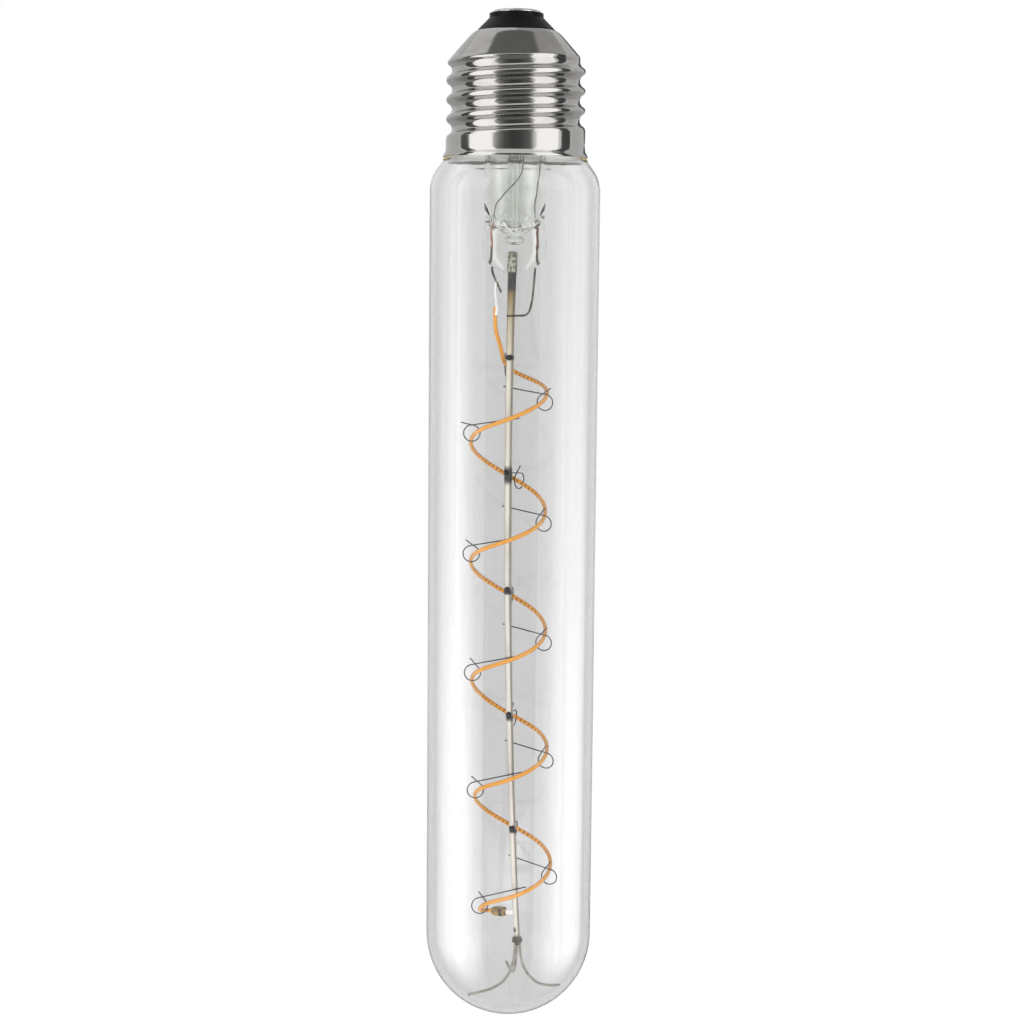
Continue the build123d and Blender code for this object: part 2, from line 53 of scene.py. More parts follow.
def lay_skin(name, grid, ring=True, loop=False, poles=(False, False)):
    """A smooth mesh over a grid of points in millimetres, with rows along the piece and columns round it. ring joins
    the last column to the first, loop the last row to the first, and a pole row is drawn together into one point."""
    rows, columns = grid.shape[:2]
    number = np.arange(rows * columns).reshape(rows, columns)
    if poles[0]:
        number[0] = number[0, 0]
    if poles[1]:
        number[-1] = number[-1, 0]
    if ring:
        number = np.hstack([number, number[:, :1]])
    if loop:
        number = np.vstack([number, number[:1]])
    corners = [number[:-1, :-1], number[:-1, 1:], number[1:, 1:], number[1:, :-1]]
    quads = np.stack(corners, axis=-1).reshape(-1, 4)
    at_start = quads[:, 0] == quads[:, 1]
    at_end = quads[:, 2] == quads[:, 3]
    used, place = np.unique(quads, return_inverse=True)
    quads = place.reshape(-1, 4)
    faces = quads[~(at_start | at_end)].tolist()
    faces += quads[at_start][:, [0, 2, 3]].tolist() + quads[at_end][:, [0, 1, 2]].tolist()
    mesh = bpy.data.meshes.new(name)
    mesh.from_pydata((grid.reshape(-1, 3)[used] * MM).tolist(), [], faces)
    mesh.shade_smooth()
    piece = bpy.data.objects.new(name, mesh)
    bpy.context.scene.collection.objects.link(piece)
    return piece


def fit(piece, finish, slot, *nodes):
    """Gives a piece its finish, lets it ride on the lamp and puts it in the place of its solids."""
    piece.data.materials.append(finish)
    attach(piece, "root")
    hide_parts(*nodes)


def blend(share):
    """The smooth step 3t^2 - 2t^3 of a share held between nought and one."""
    share = np.clip(share, 0, 1)
    return share * share * (3 - 2 * share)


def thread_radius(angle, height):
    """The shell's outside: the thread is a crest arc and a wider root arc, whose phase climbs one pitch a turn.
    Above, the cone cuts it off by a soft minimum, and below its last groove it runs level into the skirt."""
    half = THREAD_PITCH / 2
    depth = CREST_RADIUS - ROOT_RADIUS
    crest_half, root_half = 0.38 * half, 0.62 * half
    steep = np.sin(2 * np.arctan(depth / half))
    crest_arc, root_arc = crest_half / steep, root_half / steep
    turn = ((angle - np.pi / 2) / (2 * np.pi)) % 1
    phase = (height - LAST_CREST) / THREAD_PITCH - turn
    off = np.abs(phase - np.round(phase)) * THREAD_PITCH
    crest = CREST_RADIUS - crest_arc + np.sqrt(crest_arc**2 - np.minimum(off, crest_half) ** 2)
    root = ROOT_RADIUS + root_arc - np.sqrt(root_arc**2 - (half - off).clip(0, root_half) ** 2)
    wave = np.where(off < crest_half, crest, root)
    fade = np.where(phase < 1, blend(turn / 0.14), 1)
    wave = SKIRT_RADIUS - (SKIRT_RADIUS - wave) * fade
    wave = np.where(phase < 0, SKIRT_RADIUS, wave)
    down = SHELL_TOP - height
    cone = SHELL_TOP_RADIUS + 0.883 * down + 0.42 * (1 - np.exp(-down / 0.3))
    soft = 0.8
    near = np.clip(0.5 + 0.5 * (wave - cone) / soft, 0, 1)
    return wave + (cone - wave) * near - soft * near * (1 - near)


angle = np.linspace(0, 2 * np.pi, 288, endpoint=False)[None, :]
thread_heights = np.r_[np.linspace(SKIRT_TOP - 0.6, -4.6, 216), np.linspace(-4.52, SHELL_TOP - 0.02, 14)][:, None]
outside = np.broadcast_to(thread_radius(angle, thread_heights), (230, 288))
rim_curve = np.array([(13.45, -27.46), (13.6, -27.5), (13.72, -27.47), (13.75, -27.36), (13.68, -27.1), (13.5, -26.75),
                      (13.32, -26.45), (13.23, -26.15), (13.2, -25.8), (13.2, -25.2), (13.2, -24.6)])
bore_curve = np.array([(7.46, -3.92), (7.3, -3.9), (7.06, -3.93), (7.06, -4.02), (11.8, -9.1), (11.8, -9.4),
                       (11.8, -23.4), (12.88, -24.5), (12.9, -24.9), (12.9, -26.2), (13.42, -27.4)])
radius = np.vstack([rim_curve[:, :1].repeat(288, 1), outside, bore_curve[:, :1].repeat(288, 1)])
height = np.vstack([rim_curve[:, 1:], thread_heights, bore_curve[:, 1:]]).repeat(288, 1)
cap_shell = lay_skin("cap_shell_skin", np.stack([radius * np.cos(angle), radius * np.sin(angle), height], -1), loop=True)


def node(tree, kind, inputs=None, **settings):
    """Adds a shader node. Its settings are set by name, and each input is linked to a socket or takes a plain value."""
    made = tree.nodes.new("ShaderNode" + kind)
    for key, value in settings.items():
        setattr(made, key, value)
    for key, value in (inputs or {}).items():
        if isinstance(value, bpy.types.NodeSocket):
            tree.links.new(value, made.inputs[key])
        else:
            made.inputs[key].default_value = value
    return made


def new_finish(name, values):
    """A material with one Principled shader, whose own sockets take the given plain values."""
    finish = bpy.data.materials.new(name)
    finish.use_nodes = True
    shader = finish.node_tree.nodes["Principled BSDF"]
    for key, value in values.items():
        shader.inputs[key].default_value = value
    return finish, finish.node_tree, shader


def new_effect(name, inputs, outputs):
    """An empty shader node group with named value inputs and outputs."""
    effect = bpy.data.node_groups.new(name, "ShaderNodeTree")
    for key, value in inputs.items():
        effect.interface.new_socket(key, in_out="INPUT", socket_type="NodeSocketFloat").default_value = value
    for key in outputs:
        effect.interface.new_socket(key, in_out="OUTPUT", socket_type="NodeSocketFloat")
    return effect, effect.nodes.new("NodeGroupInput"), effect.nodes.new("NodeGroupOutput")


# Drawn streaks: noise on Object coordinates squeezed along Z, as a die or a polishing wheel leaves them
streaks, given, result = new_effect("drawn_streaks", {"Across": 900.0, "Along": 30.0}, ["Mask", "Height"])
place = node(streaks, "TexCoord").outputs["Object"]
scale = node(streaks, "CombineXYZ", {0: given.outputs["Across"], 1: given.outputs["Across"], 2: given.outputs["Along"]})
spread = node(streaks, "VectorMath", {0: place, 1: scale.outputs[0]}, operation="MULTIPLY").outputs[0]
fine = node(streaks, "TexNoise", {"Vector": spread, "Scale": 1.0, "Detail": 3.0, "Roughness": 0.6}).outputs["Fac"]
streaks.links.new(node(streaks, "MapRange", {0: fine, 1: 0.35, 2: 0.65}).outputs[0], result.inputs["Mask"])
streaks.links.new(fine, result.inputs["Height"])

# Mottle: cloudy noise on Object coordinates, for handling marks, oxide and unevenness
mottle, given, result = new_effect("mottle", {"Scale": 400.0, "Low": 0.35, "High": 0.65}, ["Mask", "Height"])
place = node(mottle, "TexCoord").outputs["Object"]
cloud = node(mottle, "TexNoise", {"Vector": place, "Scale": given.outputs["Scale"], "Detail": 4.0, "Roughness": 0.55})
masked = node(mottle, "MapRange", {0: cloud.outputs["Fac"], 1: given.outputs["Low"], 2: given.outputs["High"]})
mottle.links.new(masked.outputs[0], result.inputs["Mask"])
mottle.links.new(cloud.outputs["Fac"], result.inputs["Height"])


def effect_in(tree, effect, values):
    """Places an effect in a material with its own values."""
    placed = node(tree, "Group", node_tree=effect)
    for key, value in values.items():
        placed.inputs[key].default_value = value
    return placed.outputs


def mixed(tree, share, first, second):
    """A colour between two colours by a mask."""
    return node(tree, "Mix", {0: share, 6: first, 7: second}, data_type="RGBA").outputs[2]


def ranged(tree, mask, low, high):
    """A mask stretched to run from one value to another."""
    return node(tree, "MapRange", {0: mask, 3: low, 4: high}).outputs[0]


def bumped(tree, shader, height, strength, distance):
    """A bump of the given depth in metres on the shader's normal."""
    bump = node(tree, "Bump", {"Height": height, "Strength": strength, "Distance": distance})
    tree.links.new(bump.outputs["Normal"], shader.inputs["Normal"])


nickel_plate, tree, shader = new_finish("nickel_plate", {"Metallic": 1.0, "Base Color": NICKEL})
smudge = effect_in(tree, mottle, {"Scale": 260.0, "Low": 0.4, "High": 0.75})
drawn = effect_in(tree, streaks, {"Across": 120.0, "Along": 2600.0})
across = node(tree, "SeparateXYZ", {0: node(tree, "TexCoord").outputs["Object"]}).outputs
level = node(tree, "CombineXYZ", {0: across[0], 1: across[1]}).outputs[0]
from_axis = node(tree, "VectorMath", {0: level}, operation="LENGTH").outputs["Value"]
# The thread's roots are darkened in cloudy patches: painted shade in the grooves, with some grime.
root_mask = node(tree, "MapRange", {0: from_axis, 1: 0.01235, 2: 0.0121, 3: 0.0, 4: 0.35}).outputs[0]
root_grime_and_shade = node(tree, "Math", {0: root_mask, 1: smudge["Mask"]}, operation="MULTIPLY").outputs[0]
tree.links.new(mixed(tree, root_grime_and_shade, NICKEL, GRIME_AND_SHADE), shader.inputs["Base Color"])
tree.links.new(ranged(tree, smudge["Mask"], 0.09, 0.17), shader.inputs["Roughness"])
bumped(tree, shader, drawn["Height"], 0.06, 0.00004)
fit(cap_shell, nickel_plate, "cap_metal", "cap_shell")

# Cap insulator: black glass pressed hot into the top of the shell. Its lip stands round the tip contact, and its
# skin is smooth with faint flow marks.
BLACK_GLASS = (0.004, 0.004, 0.0042, 1)


def turned_skin(name, outline, columns=144, loop=True, poles=(False, False)):
    """A surface of revolution: each outline point (radius, height) is carried round the Z axis."""
    angle = np.linspace(0, 2 * np.pi, columns, endpoint=False)
    rows = np.asarray(outline, float)[:, :, None]
    grid = [rows[:, 0] * np.cos(angle), rows[:, 0] * np.sin(angle), rows[:, 1] + 0 * angle]
    return lay_skin(name, np.stack(grid, -1), loop=loop, poles=poles)


def eased(corners, trim, steps=6):
    """A closed outline with each corner replaced by a parabola that starts and ends a trim away from it, and by one
    more point on each flat beside it, which keeps the flats flat under smooth shading."""
    corners = np.asarray(corners, float)
    before, after = np.roll(corners, 1, 0) - corners, np.roll(corners, -1, 0) - corners
    lengths = [np.linalg.norm(run, axis=1, keepdims=True) for run in (before, after)]
    cut = [np.minimum(trim, 0.4 * length) for length in lengths]
    start, end = corners + before / lengths[0] * cut[0], corners + after / lengths[1] * cut[1]
    lead_in, lead_out = corners + before / lengths[0] * cut[0] * 1.2, corners + after / lengths[1] * cut[1] * 1.2
    t = np.linspace(0, 1, steps)[None, :, None]
    bend = (1 - t) ** 2 * start[:, None] + 2 * t * (1 - t) * corners[:, None] + t**2 * end[:, None]
    return np.concatenate([lead_in[:, None], bend, lead_out[:, None]], 1).reshape(-1, 2)


insulator_corners = [(1.3, -6.1), (8.98, -6.1), (7.04, -3.9), (7.5, -3.9), (5.25, -1.62), (5.1, -1.45), (5.1, -0.6),
                     (1.3, -0.6)]
cap_insulator = turned_skin("cap_insulator_skin", eased(insulator_corners, 0.16))
black_glass, tree, shader = new_finish("black_glass", {"Base Color": BLACK_GLASS, "Specular IOR Level": 0.08})
flow = effect_in(tree, mottle, {"Scale": 330.0, "Low": 0.3, "High": 0.7})
tree.links.new(mixed(tree, flow["Mask"], BLACK_GLASS, (0.006, 0.006, 0.0062, 1)), shader.inputs["Base Color"])
tree.links.new(ranged(tree, flow["Mask"], 0.3, 0.42), shader.inputs["Roughness"])
bumped(tree, shader, flow["Height"], 0.12, 0.0001)
fit(cap_insulator, black_glass, "cap_black", "cap_insulator")

# Centre contact: a plated disc with a low crown, riveted through the insulator. The spring of the lamp holder
# presses on it, and its face is scuffed from that.
contact_outline = [(0, -6.7), (1.25, -6.7), (1.3, -6.62), (1.3, -0.62), (4.5, -0.62), (4.6, -0.55), (4.58, -0.42),
                   (4.45, -0.24), (4.2, -0.09), (3.9, -0.02), (3.6, 0), (2.5, 0), (0, 0)]
centre_contact = turned_skin("centre_contact_skin", contact_outline, loop=False, poles=(True, True))
contact_plate, tree, shader = new_finish("contact_plate", {"Metallic": 1.0, "Base Color": (0.74, 0.73, 0.71, 1)})
scuff = effect_in(tree, mottle, {"Scale": 1500.0, "Low": 0.4, "High": 0.62})
tree.links.new(mixed(tree, scuff["Mask"], (0.76, 0.75, 0.73, 1), (0.6, 0.58, 0.55, 1)), shader.inputs["Base Color"])
tree.links.new(ranged(tree, scuff["Mask"], 0.16, 0.34), shader.inputs["Roughness"])
bumped(tree, shader, scuff["Height"], 0.15, 0.00008)
fit(centre_contact, contact_plate, "cap_metal", "centre_contact")

# Cap cement: ochre resin cement, baked between the glass neck and the shell. At the sides and the back it runs out
# under the rim in a thin fillet. Seen through the glass it is painted near white where it wets the neck, painted light
# standing in for the light on it, and olive at its edge.
CEMENT, CEMENT_DARK = (0.56, 0.46, 0.22, 1), (0.4, 0.31, 0.13, 1)
CEMENT_PAINTED_LIGHT, CEMENT_OLIVE = (0.95, 0.945, 0.92, 1), (0.21, 0.195, 0.15, 1)
angle = np.linspace(0, 2 * np.pi, 192, endpoint=False)
from_front = np.abs((angle + 1.5 * np.pi) % (2 * np.pi) - np.pi)
uneven = 0.5 + 0.22 * np.sin(3 * angle + 1) + 0.18 * np.sin(7 * angle) + 0.1 * np.sin(17 * angle + 2)
drop = (0.62 * blend((from_front - 0.95) / 0.5) + 0.12 * blend((from_front - 1.9) / 0.5)) * (0.85 + 0.15 * uneven)
cement_rows = [(13.29, -27.5), (13.29 + 0.7266 * drop, -27.5 - drop), (13.38 + 0.72 * drop, -27.47 - 0.93 * drop),
               (13.42 + 0.5 * drop, -27.45 - 0.6 * drop), (13.4, -27.42), (13.34, -27.25), (12.86, -26.3), (12.86, -24.55),
               (11.78, -23.5), (11.78, -17.5), (11.44, -17.5), (11.44, -24.9), (12.37, -26.2)]
radius = np.array([row[0] + 0 * angle for row in cement_rows])
height = np.array([row[1] + 0 * angle for row in cement_rows])
cap_cement = lay_skin("cap_cement_skin", np.stack([radius * np.cos(angle), radius * np.sin(angle), height], -1), loop=True)
on_glass = cap_cement.data.attributes.new("on_glass", "FLOAT", "POINT")
on_glass.data.foreach_set("value", np.repeat([1, 1, 0, 0, 0, 0, 0, 0, 0, 0, 0, 1, 1], 192).astype(np.float32))
baked_cement, tree, shader = new_finish("baked_cement", {"Base Color": CEMENT, "Specular IOR Level": 0.3})
grain = effect_in(tree, mottle, {"Scale": 900.0, "Low": 0.35, "High": 0.7})
level = node(tree, "SeparateXYZ", {0: node(tree, "TexCoord").outputs["Object"]}).outputs[2]
edge = node(tree, "MapRange", {0: level, 1: -0.02755, 2: -0.0277}).outputs[0]
# The near-white wetted face is painted light.
wetted_painted_light = mixed(tree, edge, CEMENT_PAINTED_LIGHT, CEMENT_OLIVE)
side = node(tree, "Attribute", attribute_name="on_glass").outputs["Fac"]
tree.links.new(mixed(tree, side, mixed(tree, grain["Mask"], CEMENT, CEMENT_DARK), wetted_painted_light), shader.inputs["Base Color"])
tree.links.new(ranged(tree, grain["Mask"], 0.6, 0.8), shader.inputs["Roughness"])
bumped(tree, shader, grain["Height"], 0.2, 0.0001)
fit(cap_cement, baked_cement, "cement", "cap_cement")

# Glass envelope: clear soda glass tube, blown to a round end below and worked in to a shoulder and a neck above.
# Its wall is even, with long faint waves from the drawing. Its grey tint is painted shade over all that is seen through
# the clear glass, and it stops at the cap, where the cement shows through.
GLASS_RADIUS, GLASS_WALL, DOME, TUBE_TOP, NECK_TOP, NECK_RADIUS = 16.18, 0.8, -178.6, -33.8, -16.5, 11.4
SHOULDER_ROUND, SHOULDER_LEAN = 7.0, np.radians(36)
GLASS_SHADE_TINT = (0.785, 0.785, 0.785, 1)


def envelope_line(inset):
    """Half the envelope's section moved inwards: a quarter circle, the tube, the shoulder's arc, its cone and neck."""
    radius = GLASS_RADIUS - inset
    sweep = np.linspace(0, np.pi / 2, 48)[:, None]
    dome = np.hstack([radius * np.sin(sweep), DOME - radius * np.cos(sweep)])
    wall = np.linspace(DOME, TUBE_TOP, 26)[1:-1, None]
    wall = np.hstack([0 * wall + radius, wall])
    lean = np.linspace(0, SHOULDER_LEAN, 20)[:, None]
    turn = SHOULDER_ROUND - inset
    shoulder = np.hstack([GLASS_RADIUS - SHOULDER_ROUND + turn * np.cos(lean), TUBE_TOP + turn * np.sin(lean)])
    neck = NECK_RADIUS - inset
    foot = shoulder[-1, 1] + (shoulder[-1, 0] - neck) / np.tan(SHOULDER_LEAN)
    cone = shoulder[-1] + np.linspace(0.2, 0.8, 4)[:, None] * (np.array([neck, foot]) - shoulder[-1])
    t = np.linspace(0, 1, 9)[:, None]
    corner = np.array([neck, foot])
    into = (1 - t) ** 2 * cone[-1] + 2 * t * (1 - t) * corner + t**2 * (corner + [0, 1.2])
    top = np.array([(neck, -20.0), (neck, NECK_TOP - 0.2)])
    return np.vstack([dome, wall, shoulder, cone[:-1], into, top])


outer, inner = envelope_line(0), envelope_line(GLASS_WALL)
lip = np.array([(NECK_RADIUS - 0.15, NECK_TOP), (NECK_RADIUS - GLASS_WALL + 0.15, NECK_TOP)])
envelope = turned_skin("glass_envelope_skin", np.vstack([outer, lip, inner[::-1]]), 240, loop=False, poles=(True, True))


def clear_glass(name, tint, wave_scale, wave_depth):
    """Clear glass with long faint waves. Light for the pieces inside passes it unbent, as through a thin wall."""
    finish, tree, shader = new_finish(name, {"Base Color": tint, "Roughness": 0.0, "IOR": 1.5, "Transmission Weight": 1.0})
    waves = effect_in(tree, streaks, {"Across": wave_scale, "Along": wave_scale * 0.12})
    bumped(tree, shader, waves["Height"], 0.25, wave_depth)
    dust = effect_in(tree, mottle, {"Scale": 180.0, "Low": 0.45, "High": 0.8})
    darker = tuple(0.985 * part for part in tint[:3]) + (1,)
    tree.links.new(mixed(tree, dust["Mask"], tint, darker), shader.inputs["Base Color"])
    through = node(tree, "BsdfTransparent", {"Color": tuple(part**0.15 for part in tint[:3]) + (1,)})
    shadow = node(tree, "LightPath").outputs["Is Shadow Ray"]
    either = node(tree, "MixShader", {0: shadow, 1: shader.outputs[0], 2: through.outputs[0]})
    tree.links.new(either.outputs[0], tree.nodes["Material Output"].inputs["Surface"])
    return finish


bulb_glass = clear_glass("bulb_glass", GLASS_SHADE_TINT, 120.0, 0.0001)
tree = bulb_glass.node_tree
into_glass = tree.nodes["Principled BSDF"].inputs["Base Color"]
# Above the cap's rim the painted grey shade gives way to clear white.
level = node(tree, "SeparateXYZ", {0: node(tree, "TexCoord").outputs["Object"]}).outputs[2]
in_cap = node(tree, "MapRange", {0: level, 1: -0.0283, 2: -0.0279}).outputs[0]
tree.links.new(mixed(tree, in_cap, into_glass.links[0].from_socket, (1, 1, 1, 1)), into_glass)
fit(envelope, bulb_glass, "clear_glass", "glass_envelope")

# Glass stem: a flared tube whose lower end is melted and pinched flat round the wires and the mast. The pinch leaves
# a wavy trough inside and a round blow hole under the exhaust tube.
STEM_RADIUS, WAIST, PINCH, PRESS, PRESS_FOOT, PRESS_DEPTH = 5.9, -20.9, -33.9, -39.4, -49.0, 2.4


def squeezed(wide, deep, square, height, columns=160):
    """Rings of superellipses |x/wide|^n + |y/deep|^n = 1, one row for each height, with n from round to square."""
    angle = np.linspace(0, 2 * np.pi, columns, endpoint=False)[None, :]
    cosine, sine = np.cos(angle), np.sin(angle)
    power = 2 / square[:, None]
    x = wide[:, None] * np.sign(cosine) * np.abs(cosine) ** power
    y = deep[:, None] * np.sign(sine) * np.abs(sine) ** power
    return np.stack([x, y, height[:, None] + 0 * angle], -1)


height = np.concatenate([PRESS_FOOT + 4.6 * (1 - np.cos(np.linspace(0, np.pi / 2, 24))), np.linspace(-44.0, PRESS, 14)[:-1],
                         np.linspace(PRESS, PINCH, 30)[:-1], np.linspace(PINCH, WAIST, 16)[:-1],
                         np.linspace(WAIST, -16.5, 16)])
corner = np.clip((-44.4 - height) / 4.6, 0, 1)
pinched = blend((PINCH - height) / (PINCH - PRESS))
flare = np.clip((height - WAIST) / 4.4, 0, 1) ** 1.6 * 4.68
wide = STEM_RADIUS + flare - 4.6 * (1 - np.sqrt(1 - corner**2)) + 0.3 * np.exp(-((height + 44.2) / 2.6) ** 2)
wide -= 0.25 * np.exp(-((height + 39.4) / 1.6) ** 2)
heel = np.clip((-47.9 - height) / 1.1, 0, 1)
deep = STEM_RADIUS + flare - (STEM_RADIUS - PRESS_DEPTH) * pinched - 1.0 * (1 - np.sqrt(1 - heel**2))
stem_out = squeezed(wide, deep, 2 + 1.3 * pinched, height)
foot = squeezed(np.array([1e-6, 1.2]), np.array([1e-6, 0.8]), np.array([2.0, 3.0]), np.array([PRESS_FOOT, PRESS_FOOT]))
rim = squeezed(np.array([11.36, 11.38, 11.2, 10.75]), np.array([11.36, 11.38, 11.2, 10.75]), np.full(4, 2.0),
               np.array([-16.45, -15.8, -15.62, -15.62]))
hollow = np.concatenate([np.linspace(-15.7, WAIST, 16), np.linspace(WAIST, PINCH, 14)[1:], np.linspace(PINCH, PRESS, 26)[1:],
                         np.linspace(PRESS, -41.9, 18)[1:], np.linspace(-41.9, -43.85, 18)[1:]])
pinched = blend((PINCH - hollow) / (PINCH - PRESS))
flare = np.clip((hollow - WAIST) / 5.2, 0, 1) ** 1.6 * 5.66
trough = blend((-40.2 - hollow) / 1.6)
pocket = np.clip((hollow + 42.9) / 0.98, -1, 1)
bulb = np.where(hollow < -41.9, 1.95 * np.sqrt(1 - pocket**2) + 0.02, 0)
wide = np.where(hollow < -41.9, np.maximum(bulb, 1.5 * (hollow > -42.2)), 5.0 - 0.4 * pinched + flare - 3.1 * trough)
deep = np.where(hollow < -41.9, np.maximum(0.6 * bulb, 0.9 * (hollow > -42.2)), 5.0 - 3.1 * pinched + flare - 1.0 * trough)
stem_in = squeezed(wide, deep, 2 + 1.2 * pinched * (hollow > -42), hollow)
angle = np.linspace(0, 2 * np.pi, 160, endpoint=False)
ripple = (np.sin(5 * angle + 0.6) + 0.7 * np.sin(9 * angle + 2) + 0.5 * np.sin(14 * angle))[None, :]
ripple = ripple + 0.8 * np.sin(23 * angle + 1)[None, :] * np.cos(hollow * 5)[:, None]
ripple = ripple * (blend((-37.6 - hollow) / 1.6) * (hollow > -42))[:, None] * np.sin(hollow * 2.1 + 1)[:, None]
stem_in[..., :2] *= 1 + 0.06 * ripple[..., None]
stem_in[..., 2] += 0.4 * ripple * np.exp(-((hollow + 40.4) / 1.2) ** 2)[:, None]
stem_end = stem_in[-1:] * 0 + stem_in[-1].mean(0)
glass_stem = lay_skin("glass_stem_skin", np.concatenate([foot, stem_out[1:], rim, stem_in, stem_end]), poles=(True, True))
stem_glass = clear_glass("stem_glass", (0.965, 0.98, 0.955, 1), 500.0, 0.00006)
fit(glass_stem, stem_glass, "clear_glass", "glass_stem")

# Exhaust tube: a thin glass tube through which the lamp was pumped and filled. It stands in the stem over the blow
# hole and is drawn out and melted shut at its top.
exhaust_outline = [(0.95, -40.6), (1.15, -40.75), (1.6, -40.7), (1.68, -40.4), (1.55, -39.6), (1.5, -38.6), (1.5, -30),
                   (1.5, -21.5), (1.35, -20.7), (1.0, -20.0), (0.6, -19.6), (0, -19.5), (0, -20.5), (0.3, -20.6),
                   (0.6, -21), (0.88, -21.9), (0.9, -22.5), (0.9, -30), (0.9, -39)]
ends = np.array(exhaust_outline)
exhaust_tube = turned_skin("exhaust_tube_skin", np.vstack([ends[12:], ends[:12]]), 96, loop=False, poles=(True, True))
fit(exhaust_tube, stem_glass, "clear_glass", "exhaust_tube")

# Outer leads: soft copper wire, tinned grey, from the driver down to the press. The left one crosses in front of the
# exhaust tube and the right one hangs nearly straight.


def soft_bends(points, rounds=4):
    """Corner cutting: each round puts two points on every run, a quarter in from its ends, so that corners melt into
    parabolas while the first and last point stay."""
    points = np.asarray(points, float)
    for _ in range(rounds):
        first, second = points[:-1], points[1:]
        cut = np.stack([0.75 * first + 0.25 * second, 0.25 * first + 0.75 * second], 1).reshape(-1, 3)
        points = np.vstack([points[:1], cut[1:-1], points[-1:]])
    return points


def wire_skin(name, path, radius, across, sides=14, flat=1.0):
    """A drawn wire: a circle carried square to the path, closed by a low dome at each end. across is the direction
    its angle is measured from, and flat squeezes it along that direction."""
    path = np.asarray(path, float)
    ahead = np.gradient(path, axis=0)
    ahead /= np.linalg.norm(ahead, axis=1, keepdims=True)
    side = across - (across * ahead).sum(1, keepdims=True) * ahead
    side /= np.linalg.norm(side, axis=1, keepdims=True)
    other = np.cross(ahead, side)
    angle = np.linspace(0, 2 * np.pi, sides, endpoint=False)[None, :, None]
    ring = flat * np.cos(angle) * side[:, None] + np.sin(angle) * other[:, None]
    radius = np.broadcast_to(radius, len(path))[:, None, None]
    body = path[:, None] + radius * ring
    first = path[0] - ahead[0] * radius[0, 0] * np.array([0.3, 0.22])[:, None]
    last = path[-1] + ahead[-1] * radius[-1, 0] * np.array([0.22, 0.3])[:, None]
    tips = np.array([0, 0.7])[:, None, None]
    start = first[:, None] + tips * radius[0] * ring[:1]
    end = last[:, None] + tips[::-1] * radius[-1] * ring[-1:]
    return lay_skin(name, np.concatenate([start, body, end]), poles=(True, True))


FRONT, UP = np.array([0, -1.0, 0]), np.array([0, 0, 1.0])
LEAD_OFFSET, BOARD_TOP = 4.2, -14.6
left_run = [(-4.2, 0, -39.6), (-4.2, 0, -38.2), (-3.9, -1.2, -36.6), (-3.3, -1.95, -35.4), (-0.6, -1.95, -32.9),
            (1.6, -1.95, -30.0), (1.6, -1.9, -24), (1.6, -1.9, BOARD_TOP + 0.8)]
right_run = [(4.2, 0, -39.6), (4.1, 0, -37), (4.2, 0, -33), (4.9, 0, -29), (5.2, 0, -24), (5.2, 0, BOARD_TOP + 0.8)]
tinned_copper, tree, shader = new_finish("tinned_copper", {"Metallic": 1.0})
patches = effect_in(tree, mottle, {"Scale": 700.0})
tree.links.new(mixed(tree, patches["Mask"], (0.45, 0.44, 0.44, 1), (0.22, 0.21, 0.23, 1)), shader.inputs["Base Color"])
tree.links.new(ranged(tree, patches["Mask"], 0.3, 0.5), shader.inputs["Roughness"])
for side, run in {"left": left_run, "right": right_run}.items():
    outer_lead = wire_skin(f"outer_lead_{side}_skin", soft_bends(run), 0.11 if side == "left" else 0.15, FRONT)
    fit(outer_lead, tinned_copper, "copper_wire", f"outer_lead_{side}")

# Seal wires: short copper-clad wires that seal to the glass of the press. The left one shows bright pink copper and
# the right one is burnt dark red.
SEAL_COLOURS = {"left": ((0.8, 0.47, 0.34, 1), (0.55, 0.3, 0.2, 1)), "right": ((0.3, 0.09, 0.06, 1), (0.12, 0.05, 0.035, 1))}
for side, sign in {"left": -1, "right": 1}.items():
    x = sign * LEAD_OFFSET
    heights = np.linspace(-39.3, -44.5, 24)
    knot = 0.2 + 0.13 * np.exp(-((heights + 44.3) / 0.3) ** 2)
    run = np.stack([x + 0.05 * np.sin(heights * 1.7), 0 * heights, heights], 1)
    seal_wire = wire_skin(f"seal_wire_{side}_skin", run, knot, FRONT)
    copper_clad, tree, shader = new_finish(f"copper_clad_{side}", {"Metallic": 0.85})
    burnt = effect_in(tree, mottle, {"Scale": 1100.0})
    tree.links.new(mixed(tree, burnt["Mask"], *SEAL_COLOURS[side]), shader.inputs["Base Color"])
    tree.links.new(ranged(tree, burnt["Mask"], 0.35, 0.55), shader.inputs["Roughness"])
    fit(seal_wire, copper_clad, "copper_wire", f"seal_wire_{side}")

# Mast: a steel rod sealed in the press, slightly bowed. The heat of sealing left a crust in the glass, a black scale
# just under the press and a straw temper colour below it. The hooks' welds are scorched black, and the three legs are
# welded into a bead at its foot.
MAST_TOP, MAST_FOOT = -45.3, -180.5


def mast_middle(height):
    """The rod's middle at a height: the chord from -0.3 to 1.8 mm and a parabola 1.35 mm deep on it."""
    share = (MAST_TOP - height) / (MAST_TOP - MAST_FOOT)
    x = -0.3 + 2.1 * share - 1.35 * 4 * share * (1 - share)
    return np.stack([x, 0 * height, height], -1)


